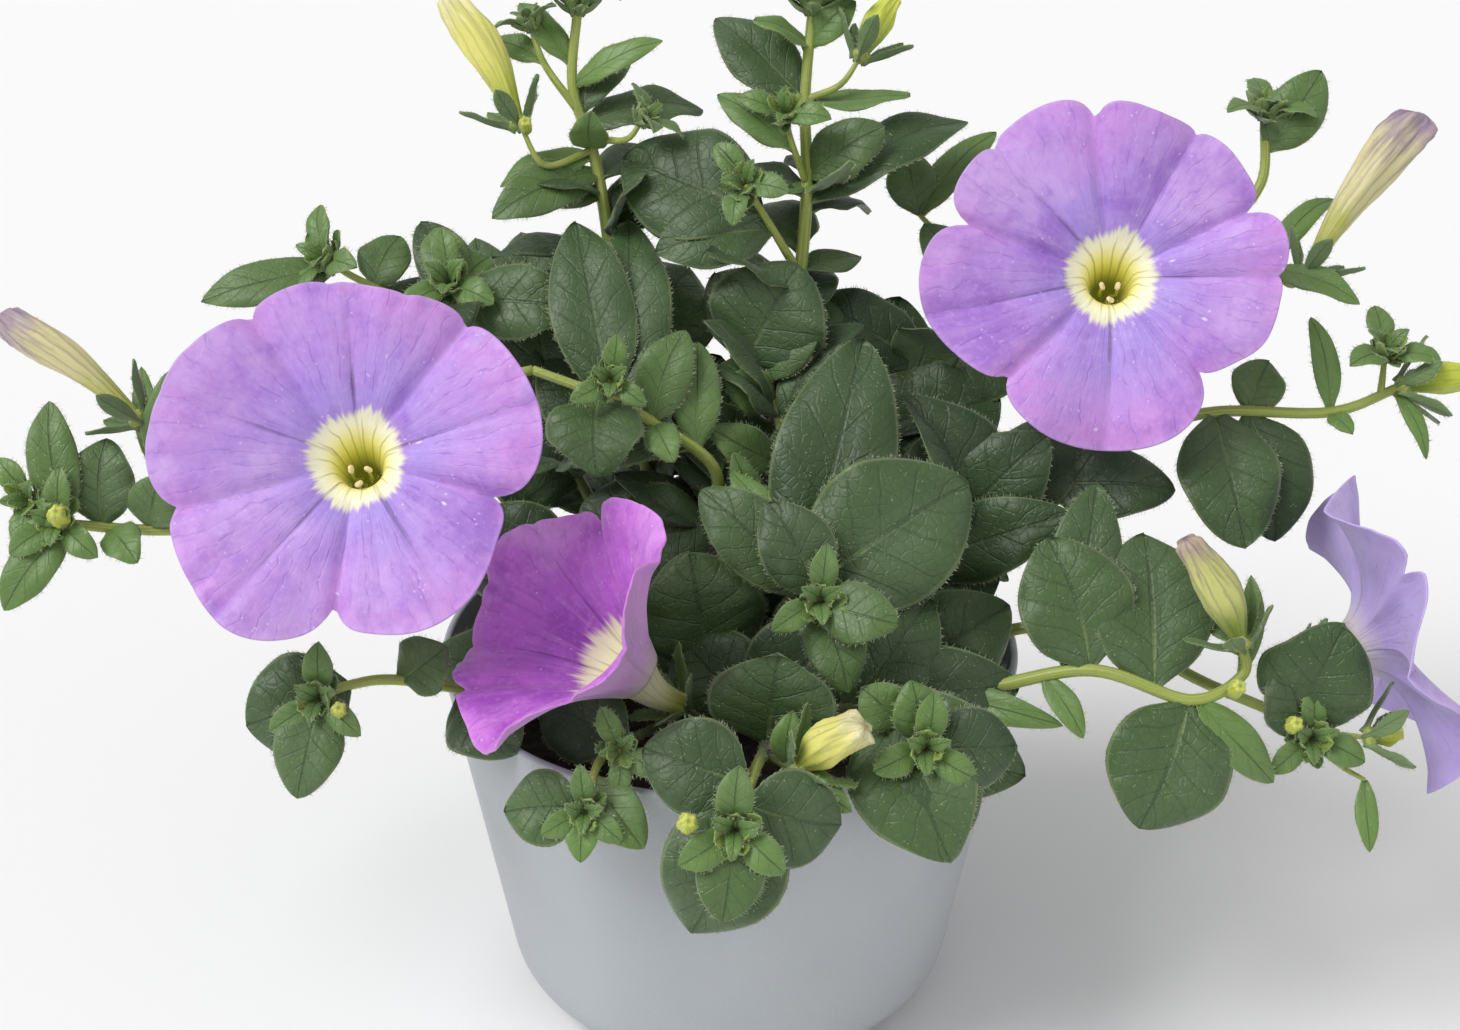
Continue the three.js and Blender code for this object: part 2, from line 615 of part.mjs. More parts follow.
// The direction in which a stem's end looks, turned partly to the viewer.
function endAxis(curve, face) {
  return curve.getTangent(1).multiplyScalar(1 - Math.abs(face)).addScaledVector(TOWARD, face).normalize();
}

function stemSolids(curve, { thick, leaves, end }) {
  const solids = [stemSolid(curve, thick)];
  leaves.forEach(({ at, tip, wide, face, arch, fold }) => {
    solids.push(blade(pointAt(curve, at), seen(tip), wide, facingOf(face), arch, fold));
  });
  if (end) solids.push(tuftSolid(curve.getPoint(1), endAxis(curve, end.face), end));
  return solids;
}

const curvesOf = Object.fromEntries(Object.entries(SHOOTS).map(([name, stems]) => [name, stemCurves(stems)]));

// Where an open bloom's calyx sits, behind its throat, and the way that it faces.
function bloomSeat({ throat, faces, tube }) {
  const axis = seenDirection(faces);
  return { axis, end: seen(throat).addScaledVector(axis, -tube - CALYX.gap) };
}

function stalkSolids(bloom) {
  const { axis, end } = bloomSeat(bloom);
  const [shoot, index, at] = bloom.on;
  const start = pointAt(curvesOf[shoot][index], at);
  const behind = end.clone().addScaledVector(axis, -STALK.straight);
  const points = [start, ...(bloom.via ? [seen(bloom.via)] : []), behind, end];
  return [stemSolid(routeCurve(points), STALK.thick), calyx(end, axis)];
}

// Where a closed bloom sits on the end of its stem, and its length and direction to its tip.
function closedSeat({ on, tip }) {
  const [shoot, index] = on;
  const end = curvesOf[shoot][index].getPoint(1);
  const axis = seen(tip).sub(end);
  const length = axis.length();
  return { end, axis: axis.normalize(), length };
}

function shootMesh(name, stems) {
  const solids = stems.flatMap((row, index) => stemSolids(curvesOf[name][index], row));
  const carried = ({ on }) => on[0] === name;
  solids.push(...Object.values(BLOOMS).filter(carried).flatMap(stalkSolids));
  solids.push(...Object.values(CLOSED).filter(carried).map((closed) => {
    const { end, axis } = closedSeat(closed);
    return calyx(end, axis);
  }));
  return meshOf(name, geometryOf(solids.reduce((all, solid) => all.add(solid))), 'foliage');
}

// The radius of a bloom's rim at an angle, from its list of angles and radii.
function rimRadius(rim, degrees) {
  const last = rim[rim.length - 1];
  const ring = [[last[0] - 360, last[1]], ...rim, [rim[0][0] + 360, rim[0][1]]];
  const next = ring.findIndex(([angle]) => angle > degrees);
  const [fromAngle, fromRadius] = ring[next - 1];
  const [toAngle, toRadius] = ring[next];
  return THREE.MathUtils.lerp(fromRadius, toRadius, (degrees - fromAngle) / (toAngle - fromAngle));
}

// An open bloom: a tube that widens to its throat, then a limb that spreads to a lobed, waved rim.
// The skin runs up the inside to the rim and back down the outside.
function bloomGeometry({ throat, faces, tube, rim, cone, wave, segments }) {
  const { axis, end } = bloomSeat({ throat, faces, tube });
  const base = end.addScaledVector(axis, CALYX.gap);
  const right = UPWARD.clone().cross(axis).normalize();
  const up = axis.clone().cross(right);
  const ring = (height, radius, spread = 0) => Array.from({ length: segments }, (_, index) => {
    const degrees = (index * 360) / segments;
    const angle = THREE.MathUtils.degToRad(degrees);
    const reach = rimRadius(rim, degrees);
    const size = spread > 0 ? THREE.MathUtils.lerp(radius, reach, spread) : radius;
    const lift = spread * reach * (cone + wave * spread * Math.sin(LIMB.lobes * angle + LIMB.turn));
    return base.clone()
      .addScaledVector(axis, height + lift)
      .addScaledVector(right, size * Math.cos(angle))
      .addScaledVector(up, size * Math.sin(angle));
  });
  const { throat: wide, skin, floor, under, neck, foot } = TUBE;
  const backwards = LIMB.spreads.slice().reverse();
  const rings = [
    ring(tube * floor.at, floor.radius),
    ring(tube, wide),
    ...LIMB.spreads.map((spread) => ring(tube, wide, spread)),
    ...backwards.map((spread) => ring(tube - skin, wide + skin, spread)),
    ring(tube - under.below, under.radius),
    ring(tube * neck.at, neck.radius),
    ring(0, foot),
  ];
  const points = [base.clone().addScaledVector(axis, tube * floor.at), ...rings.flat(), base];
  const last = points.length - 1;
  const outermost = 1 + (rings.length - 1) * segments;
  const triangles = [];
  for (let index = 0; index < segments; index += 1) {
    const next = (index + 1) % segments;
    triangles.push(0, 1 + index, 1 + next);
    for (let row = 1; row < outermost; row += segments) {
      triangles.push(row + index, row + segments + index, row + segments + next);
      triangles.push(row + index, row + segments + next, row + next);
    }
    triangles.push(outermost + index, last, outermost + next);
  }
  return geometryFrom(points, triangles);
}

// Stamens that stand together on the floor of a bloom's tube, joined where they start.
function stamensGeometry(bloom) {
  const { axis, end } = bloomSeat(bloom);
  const floor = CALYX.gap + bloom.tube * TUBE.floor.at + STAMENS.above;
  const foot = end.clone().addScaledVector(axis, floor);
  const first = UPWARD.clone().cross(axis).normalize();
  const second = axis.clone().cross(first);
  const rods = Array.from({ length: STAMENS.count }, (_, index) => {
    const turn = (index * 2 * Math.PI) / STAMENS.count + STAMENS.turn;
    const tip = end.clone()
      .addScaledVector(axis, bloom.tube * STAMENS.reach + (index % 2) * STAMENS.step)
      .addScaledVector(first, STAMENS.splay * Math.cos(turn))
      .addScaledVector(second, STAMENS.splay * Math.sin(turn));
    const radius = (t) => (t > STAMENS.tipFrom ? STAMENS.tip : STAMENS.stalk);
    return rod(new THREE.LineCurve3(foot, tip), radius, STAMENS.sides, 2);
  });
  return geometryOf(rods.reduce((all, solid) => all.add(solid)));
}

// A closed bloom or bud: a spindle that starts slim, swells and ends in a pinched tip.
function closedGeometry(closed) {
  const { end, axis, length } = closedSeat(closed);
  const start = end.clone().addScaledVector(axis, CALYX.gap);
  const tip = end.clone().addScaledVector(axis, length);
  const radius = (t) => {
    const swell = THREE.MathUtils.smoothstep(t, -0.1, closed.fullAt);
    const pinch = SPINDLE.pinch * THREE.MathUtils.smoothstep(t, closed.fullAt, 1.05);
    return SPINDLE.foot + (closed.wide - SPINDLE.foot) * (swell - pinch);
  };
  return geometryOf(rod(new THREE.LineCurve3(start, tip), radius, SPINDLE.sides, SPINDLE.steps));
}

// The profile of a pot-shaped wall, from the axis out and up: flat, then a rounded edge, then the
// straight side. It lies `inset` inside the outer face of the pot.
function potProfile(inset, top) {
  const { rim, base, height, edge } = POT;
  const lean = Math.atan((rim - base) / height);
  const flat = base - edge / Math.tan((Math.PI / 2 + lean) / 2);
  const radius = edge - inset;
  const arc = Array.from({ length: POT.edgeSteps + 1 }, (_, step) => {
    const angle = (step / POT.edgeSteps) * (Math.PI / 2 - lean);
    return new THREE.Vector2(flat + radius * Math.sin(angle), edge - radius * Math.cos(angle));
  });
  const side = new THREE.Vector2(base + Math.tan(lean) * top - inset / Math.cos(lean), top);
  return [new THREE.Vector2(0, inset), ...arc, side];
}

function lathe(profile, sides) {
  const geometry = new THREE.LatheGeometry(profile, sides);
  geometry.rotateX(Math.PI / 2);
  return geometry;
}

function potMesh() {
  const outside = potProfile(0, POT.height);
  const inside = potProfile(POT.wall, POT.height);
  let solid = solidOf(lathe([...outside, ...inside.reverse()], POT.sides));
  for (let index = 0; index < DRAIN.holes; index += 1) {
    const angle = (index * 2 * Math.PI) / DRAIN.holes;
    const hole = new THREE.CylinderGeometry(DRAIN.radius, DRAIN.radius, 4 * POT.wall, DRAIN.sides);
    hole.rotateX(Math.PI / 2);
    hole.translate(DRAIN.circle * Math.cos(angle), DRAIN.circle * Math.sin(angle), 0);
    solid = solid.subtract(solidOf(hole));
  }
  return meshOf('pot', geometryOf(solid), 'pot');
}

// The soil fills the pot to a low mound, with a hole for each shoot.
function soilMesh() {
  const under = potProfile(POT.wall + SOIL.gap, soilTop);
  const edge = under[under.length - 1].x;
  const top = SOIL.rings.map((share) =>
    new THREE.Vector2(edge * share, soilTop + SOIL.mound * (1 - share ** 2)));
  let solid = solidOf(lathe([...under, ...top], SOIL.sides));
  Object.values(SHOOTS).forEach(([first]) => {
    const [x, y] = first.from;
    const radius = first.thick + HOLE.clear;
    const height = HOLE.depth + HOLE.under + 2 * SOIL.mound;
    const hole = new THREE.CylinderGeometry(radius, radius, height, HOLE.sides);
    hole.rotateX(Math.PI / 2);
    hole.translate(x, y, soilTop - HOLE.depth - HOLE.under + height / 2);
    solid = solid.subtract(solidOf(hole));
  });
  return meshOf('soil', geometryOf(solid), 'soil');
}

const plant = new THREE.Group();
plant.add(potMesh(), soilMesh());
Object.entries(SHOOTS).forEach(([name, stems]) => plant.add(shootMesh(name, stems)));
Object.entries(BLOOMS).forEach(([name, bloom]) => {
  plant.add(meshOf(name, bloomGeometry(bloom), name === 'bloom_side' ? 'sidePetal' : 'petal'));
});
['left', 'right'].forEach((side) => {
  plant.add(meshOf(`stamens_${side}`, stamensGeometry(BLOOMS[`bloom_${side}`]), 'stamens'));
});
Object.entries(CLOSED).forEach(([name, closed]) => plant.add(meshOf(name, closedGeometry(closed), 'yellow')));

export default plant;
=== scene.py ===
"""A petunia in a light grey plastic pot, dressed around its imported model.

Places in the plant are millimetres as seen by someone who looks down at the pot from the front:
across, up, and nearer than the middle of the rim. Shapes are worked out in millimetres too, and
become metres when they are put into a mesh.
"""

import bpy
import numpy as np
from mathutils import Matrix


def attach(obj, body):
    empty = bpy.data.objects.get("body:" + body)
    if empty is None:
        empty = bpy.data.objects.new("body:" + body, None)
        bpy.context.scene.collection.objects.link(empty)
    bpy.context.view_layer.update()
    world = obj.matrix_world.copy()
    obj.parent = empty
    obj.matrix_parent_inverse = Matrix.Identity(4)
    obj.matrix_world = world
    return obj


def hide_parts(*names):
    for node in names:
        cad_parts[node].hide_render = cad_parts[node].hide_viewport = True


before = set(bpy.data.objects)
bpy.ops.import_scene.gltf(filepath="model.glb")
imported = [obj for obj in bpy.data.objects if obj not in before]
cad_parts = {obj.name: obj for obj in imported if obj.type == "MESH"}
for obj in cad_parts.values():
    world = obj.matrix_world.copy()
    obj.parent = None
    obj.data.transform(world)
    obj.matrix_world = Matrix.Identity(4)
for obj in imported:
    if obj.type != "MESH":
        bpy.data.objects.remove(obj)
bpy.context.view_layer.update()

MM = 0.001
PHOTO = {"width": 1460, "focal": 2600, "sensor": 36.0}
TILT, DISTANCE, ABOVE = np.radians(27), 520.0, 25.0

POT = {"rim": 57.5, "base": 43.5, "height": 77.0, "wall": 1.5, "edge": 14.0}
DRAIN = {"holes": 6, "radius": 4.0, "circle": 24.0}
SOIL = {"below": 9.0, "mound": 3.0, "gap": 0.6}
HOLE = {"depth": 9.0, "collar": 5.0}
BLADE = {"thick": 0.45, "peak": 0.94, "full": 0.66, "veins": 5.5}
BLADE_GRIDS = {13: (34, 13), 5: (22, 9), 0: (13, 7)}
HIDDEN_GRID = (14, 7)
HAIR = {
    "apart": 0.42, "margin": 0.05, "bar": 0.04,
    "leaf": (192, 204, 160), "stem": (204, 212, 170), "tube": (218, 214, 190),
    "closed": (216, 218, 184),
}
STEM = {"taper": 0.6, "sides": 10, "step": 1.3}
TUFT = {
    "core": 1.1,
    "turn": 0.4,
    "outer": {"size": 1.0, "lean": 1.2, "wide": 0.46},
    "inner": {"size": 0.62, "lean": 0.5, "wide": 0.4},
}
CALYX = {"core": 3.2, "turn": 0.3, "sepals": 5, "size": 9.5, "lean": 0.62, "wide": 3.7, "gap": 0.75}
STALK = {"thick": 1.0, "straight": 6.0}
TUBE = {"throat": 5.4, "foot": 2.1, "even": 1.6, "skin": 0.35}
LIMB = {"lobes": 5, "turn": 0.6, "skin": 0.45, "half": 0.63, "widest": 40.0}
SPINDLE = {"foot": 1.1, "rows": 36, "sides": 60}
LIGHTS = {
    "surround": 0.5,
    "key": {"place": (-0.75, -0.35, 1.0), "spread": 0.6, "strength": 2.2},
    "fill": {"place": (0.9, -0.8, 0.6), "spread": 1.0, "strength": 0.25},
}

UPWARD = np.array([0.0, np.sin(TILT), np.cos(TILT)])
TOWARD = np.array([0.0, -np.cos(TILT), np.sin(TILT)])
UP = np.array([0.0, 0.0, 1.0])
EYE = np.array([0.0, 0.0, POT["height"]]) + UPWARD * ABOVE + TOWARD * DISTANCE
draw = np.random.default_rng(17)


def leaf(at, tip, wide, face=0.7, arch=0.08, fold=0.15):
    """A leaf that grows at a route point of its stem, its tip, width, and how it faces and bends."""
    return {"at": at, "tip": tip, "wide": wide, "face": face, "arch": arch, "fold": fold}


def tuft(leaves, size, face=0.5):
    """A tuft of young leaves at a stem's end."""
    return {"leaves": leaves, "size": size, "face": face}


def stem(start, route, thick, leaves=(), end=None):
    """A stem that starts in the soil at [x, y], or on the shoot's first stem at a route point."""
    return {"start": start, "route": route, "thick": thick, "leaves": leaves, "end": end}


# Each shoot's stems: where each starts, its route, its radius, its leaves and the tuft at its end.
SHOOTS = {
    "shoot_back_centre": [
        stem([3, 11], [[7, -5, -6], [11, 26, -4], [14, 48, 0], [15.4, 66, 0], [15, 83, 0],
            [16.5, 101, 0]], 1.7, [
            leaf(4, [-1.6, 74, 12], 9, 0.05, -0.16, 0.1),
            leaf(4, [23.6, 72, 14], 8, 0.05, -0.14, 0.1),
            leaf(3.8, [47.4, 80, -6], 14, 0.35, 0.1),
            leaf(4.1, [30.6, 78, 6], 12, 0.75),
            leaf(5, [-2.8, 100, -4], 14, 0.6, 0.05),
            leaf(5, [36, 85, 2], 8, 0.2, -0.06),
            leaf(5.6, [5, 99.5, 6], 7, 0.3),
            leaf(5.6, [25, 103, 2], 8, 0.7),
        ], tuft(6, 11, 0.2)),
        stem(4, [[12.5, 74, 5], [11, 80, 6]], 0.8, [
            leaf(0.9, [-2.4, 84.5, 4], 8.5, 0.6),
        ], tuft(4, 9, 0.7)),
        stem(5, [[22, 86, 1], [26, 91.5, 1]], 0.8),
        stem(3, [[8, 58, 6], [3, 66, 10]], 1, [
            leaf(1.3, [-21.6, 72, -2], 25, 0.75, 0.05),
            leaf(0.9, [-15, 53, 8], 14, 0.7),
        ], tuft(5, 9, 0.7)),
    ],
    "shoot_back_left": [
        stem([-7, 10], [[-13, -5, -8], [-21, 30, -8], [-25, 60, -4], [-27.5, 73, -3], [-31.5, 86, -2],
            [-30.5, 101, -2]], 1.6, [
            leaf(5, [-14, 95.4, 4], 6.5, 0.6),
            leaf(4.4, [-5.4, 82, -6], 13, 0.3),
            leaf(4, [-28, 80, 8], 8, 0.7),
            leaf(3.9, [-46.2, 66.5, -2], 8, 0.4),
            leaf(3.6, [-47.4, 60, 6], 11, 0.75),
        ], tuft(6, 10, 0.2)),
        stem(4.6, [[-37, 90, -1], [-40, 98, -1]], 0.9, [
            leaf(1.1, [-48, 95, -8], 6),
        ], tuft(6, 7, 0.2)),
        stem(4, [[-37, 70, 3], [-42, 78, 4]], 0.8),
        stem(4.2, [[-21, 75, 4], [-17.5, 79, 5]], 0.8, [], tuft(5, 8, 0.2)),
    ],
    "shoot_upper_left": [
        stem([-12, 6], [[-20, -12, -10], [-34, 14, -14], [-47, 32, -10], [-55, 43, -4], [-56, 46, -2]], 1.5, [
            leaf(4, [-30.4, 41.4, 4], 16, 0.8),
            leaf(4.6, [-59, 58, -10], 9.5, 0.7),
            leaf(4.6, [-48, 52, -8], 10, 0.7),
            leaf(2.6, [-51, 56, -18], 17, 0.6),
        ], tuft(6, 11, 0.6)),
        stem(3, [[-62, 41, -8], [-76, 48, -5], [-80, 51, -4]], 1, [
            leaf(2.4, [-106, 43.4, 0], 10.5, 0.6),
            leaf(1.6, [-66, 56, -12], 11, 0.7),
        ], tuft(6, 11, 0.5)),
    ],
    "shoot_left_centre": [
        stem([-10, -3], [[-7, -10, 4], [-2.6, 8, 12], [-15.4, 18.5, 15], [-26, 24, 15],
            [-39.4, 29, 12]], 1.5, [
            leaf(2.4, [-6.4, 35, 10], 9.5, 0.8),
            leaf(3, [-9, 37.2, 14], 11, 0.7),
            leaf(3, [-11.4, 11, 22], 7, 0.8),
            leaf(4, [-26.8, 8.6, 26], 19, 0.9),
            leaf(3.8, [-31, 59.4, 4], 17, 0.8, 0.04),
            leaf(3.6, [-20.4, 59.6, 0], 17, 0.8, 0.04),
        ]),
        stem(4, [[-24, 27, 20]], 0.8, [], tuft(6, 8, 0.9)),
    ],
    "shoot_centre": [
        stem([1, 2], [[5, -6, 4], [10, 10, 4], [9, 22, 2], [3, 30, 0]], 1.4, [
            leaf(4, [13.4, 50, 7], 25, 0.85),
            leaf(3.6, [18.5, 42, 4], 12, 0.5),
            leaf(3, [-0.5, 27.5, 8], 9.5, 0.8),
            leaf(2, [-3.4, 17.5, 12], 9.5, 0.8),
        ]),
    ],
    "shoot_centre_right": [
        stem([9, -6], [[10, -20, 12], [15, -15, 26], [18, -17, 37]], 1.5, [
            leaf(1.9, [26.8, 36, 14], 24, 0.8, 0.05),
            leaf(2.1, [-5.8, 5.2, 28], 15, 0.85),
            leaf(1.8, [0.2, 9.5, 20], 8, 0.4),
            leaf(2.7, [7.6, 2.6, 35], 14.5, 0.95),
            leaf(2.3, [48, 6.5, 28], 29, 0.95, 0.05),
            leaf(3, [33.6, -21.6, 43], 12, 0.8),
            leaf(2.6, [23.6, -35.4, 39], 12, 0.8),
        ], tuft(6, 10, 0.9)),
    ],
    "shoot_front_mid": [
        stem([-4, -12], [[-4, -30, 14], [-2, -38, 24], [-3, -42, 28]], 1.3, [
            leaf(1.2, [-8, -8, 25], 26, 0.9, 0.03),
        ]),
    ],
    "shoot_front": [
        stem([4, -17], [[5, -39, 20], [7, -46, 39], [5, -51, 54], [1, -62.5, 62]], 1.5, [
            leaf(2, [9.6, -28, 46], 24, 0.9, 0.05),
            leaf(3.3, [-17.6, -46.6, 54], 18, 0.95),
            leaf(3.4, [-8, -84.2, 53], 23, 0.9),
            leaf(4, [-1.6, -81.6, 63], 12.5, 0.9),
            leaf(3.6, [22.6, -62, 56], 18, 0.9),
        ], tuft(6, 11, 0.9)),
        stem(2.4, [[11, -50, 46], [13.5, -50.5, 51]], 0.9, [
            leaf(1.1, [12.5, -39.5, 50], 6, 0.8),
            leaf(0.9, [24, -59, 55], 7, 0.8),
        ]),
    ],
    "shoot_front_left": [
        stem([-8, -15], [[-10, -40, 20], [-20, -45, 38], [-26, -49, 48], [-29, -59, 54]], 1.2, [
            leaf(4, [-45.4, -59.4, 52], 14, 0.85),
            leaf(4, [-30, -69.4, 57], 6, 0.9),
            leaf(3.4, [-17.4, -66.6, 56], 10, 0.9),
            leaf(2.1, [-38, -38, 27], 17, 0.85, 0.04),
        ], tuft(6, 8, 0.9)),
        stem(2.6, [[-22, -47, 50]], 0.8, [], tuft(5, 8, 0.9)),
    ],
    "shoot_front_right": [
        stem([13, -14], [[16, -38, 16], [25, -39, 32], [34, -42, 43], [39, -46.5, 48]], 1.4, [
            leaf(1.8, [40.2, -16.4, 26], 18, 0.9),
            leaf(4, [57.6, -46, 47], 15.5, 0.85),
            leaf(3.8, [36.4, -33.4, 51], 10, 0.85),
            leaf(3, [26.4, -34.6, 45], 9.5, 0.9),
            leaf(2.9, [47.6, -63.4, 50], 17, 0.8, 0.12),
            leaf(2.5, [44, -69, 51], 24, 0.8, 0.16),
        ], tuft(6, 10, 0.9)),
    ],
    "shoot_left_low": [
        stem([-17, -9], [[-24, -36, 12], [-44, -36, 24], [-66, -33, 32], [-76, -34, 35],
            [-82, -36.5, 38]], 1.4, [
            leaf(4, [-97, -42, 36], 21, 0.85),
            leaf(5, [-86.8, -56.6, 42], 13, 0.9),
            leaf(3, [-57, -26.5, 36], 12, 0.8),
            leaf(2.4, [-43, -47, 38], 17, 0.8, 0.06),
        ], tuft(6, 10, 0.9)),
    ],
    "shoot_left": [
        stem([-19, 0], [[-30, -18, 6], [-62, -8, 14], [-92, -3, 20], [-116, -3, 24], [-130, -2, 27],
            [-134, -1.5, 28]], 1.5, [
            leaf(4, [-114, 8, 30], 10.5, 0.85),
            leaf(4.6, [-125, 15.4, 26], 13.5, 0.85),
            leaf(5.5, [-136.5, 23, 26], 10, 0.8),
            leaf(5.6, [-145.6, -19, 30], 9.5, 0.8),
            leaf(4.5, [-119, -9, 33], 8, 0.7),
        ], tuft(6, 10, 0.9)),
        stem(3.9, [[-115, 8, 22], [-118, 19, 25]], 0.9, [
            leaf(1.1, [-118, 30, 18], 5, 0.8),
            leaf(1.2, [-112.6, 28.6, 28], 5, 0.8),
        ]),
        stem(5.4, [[-140, 3, 26]], 0.8, [], tuft(5, 9, 0.8)),
    ],
    "shoot_right_front": [
        stem([18, -10], [[26, -35, 12], [48, -35, 24], [72, -31, 32], [92, -37, 35], [102.5, -32, 34],
            [102.5, -26, 35]], 1.6, [
            leaf(3, [63.6, -4.4, 30], 22, 0.95, 0.05),
            leaf(2.8, [73.6, 6.8, 22], 15, 0.85, 0.03),
            leaf(3.6, [83, -3.2, 25], 23, 0.9, 0.05),
            leaf(4, [82, -62.8, 37], 24, 0.9, 0.05),
            leaf(4.1, [109, -53.6, 35], 8.5, 0.8),
            leaf(2.6, [70.8, -44.4, 34], 5.5, 0.7),
            leaf(4.9, [104.4, -11.6, 26], 4.5, 0.8),
        ]),
    ],
    "shoot_right_low": [
        stem([20, -3], [[36, -28, 2], [68, -22, 12], [96, -34, 20], [110, -40, 25], [116, -44.5, 29]], 1.5, [
            leaf(5, [110.6, -29.4, 34], 14, 0.9),
            leaf(4.4, [123, -22.6, 37], 22, 0.85, 0.12),
        ], tuft(6, 10, 0.9)),
        stem(4.7, [[122, -50, 28], [127, -53, 29]], 0.7, [
            leaf(2, [128.2, -67.4, 32], 4.5, 0.7),
        ]),
        stem(4.8, [[123, -44, 31], [127.6, -44.6, 31]], 0.7),
    ],
    "shoot_right": [
        stem([15, 9], [[30, -14, -2], [58, 3, 2], [82, 16, 6], [97, 20.6, 7], [120, 20.6, 8],
            [134, 25.6, 8]], 1.6, [
            leaf(4, [103.4, -6.2, 17], 20, 0.7),
            leaf(4.3, [109.4, -5.2, 10], 18, 0.6),
            leaf(4.3, [108, 31, 2], 11, 0.7),
            leaf(5, [116.4, 39.8, 6], 5.5, 0.8),
            leaf(5, [124.6, 16.6, 13], 4.5, 0.6),
            leaf(5.9, [139.6, 11.4, 11], 3.8, 0.6),
            leaf(2.2, [88.8, 5.4, 12], 15, 0.8),
            leaf(1.5, [63.4, 15.8, 12], 20, 0.85),
            leaf(1.3, [67, 0.4, 16], 16, 0.8),
            leaf(1.7, [35.4, 24, 10], 18, 0.3, 0.1, 0.8),
        ]),
        stem(5.7, [[131, 32, 9]], 0.8, [], tuft(6, 10, 0.5)),
    ],
    "shoot_right_back": [
        stem([10, 15], [[20, -6, -10], [34, 24, -10], [50, 40, -10], [70, 52, -6], [96, 58, -2],
            [106, 66, 0], [107, 80, 0]], 1.6, [
            leaf(2.3, [16.8, 44, -9], 16, 0.7),
            leaf(3, [39, 58.5, -10], 13, 0.7),
            leaf(6.5, [118.4, 89, 2], 11.5, 0.8),
        ], tuft(6, 10, 0.4)),
        stem(3, [[45, 52, -14], [38, 60, -16]], 0.9, [
            leaf(2, [35.6, 73.4, -16], 10.5, 0.8),
            leaf(2, [53, 77, -16], 8, 0.4),
        ]),
        stem(5, [[107, 50.5, 1], [112, 46, 2], [115, 48, 2]], 0.9, [
            leaf(1.1, [121, 64, -8], 5.5, 0.5),
            leaf(1.2, [126, 43, 10], 7, 0.5),
        ]),
    ],
    "shoot_rear_left": [
        stem([-9, 17], [[-14, -14, -24], [-25, 6, -44], [-34, 10, -60]], 1.4, [
            leaf(1.6, [-46, 14, -44], 18, 0.1),
            leaf(2, [-18, 18, -60], 18, 0.1),
            leaf(2.7, [-44, -2, -74], 17, -0.4),
            leaf(3, [-28, 6, -82], 15, -0.4),
        ], tuft(6, 10, -0.4)),
    ],
    "shoot_rear": [
        stem([1, 20], [[3, -12, -28], [6, 8, -50], [8, 4, -70]], 1.4, [
            leaf(1.6, [-10, 16, -50], 18, 0),
            leaf(1.9, [22, 16, -56], 18, 0),
            leaf(2.6, [-8, -4, -80], 18, -0.5),
            leaf(3, [18, -10, -86], 17, -0.5),
        ], tuft(6, 10, -0.5)),
    ],
    "shoot_rear_right": [
        stem([14, 17], [[20, -12, -24], [34, 6, -42], [48, 6, -58]], 1.4, [
            leaf(1.6, [46, 20, -36], 18, 0.1),
            leaf(2, [34, 16, -60], 17, 0),
            leaf(2.6, [66, 4, -56], 17, -0.2),
            leaf(3, [50, -6, -76], 16, -0.5),
        ], tuft(6, 10, -0.4)),
    ],
}

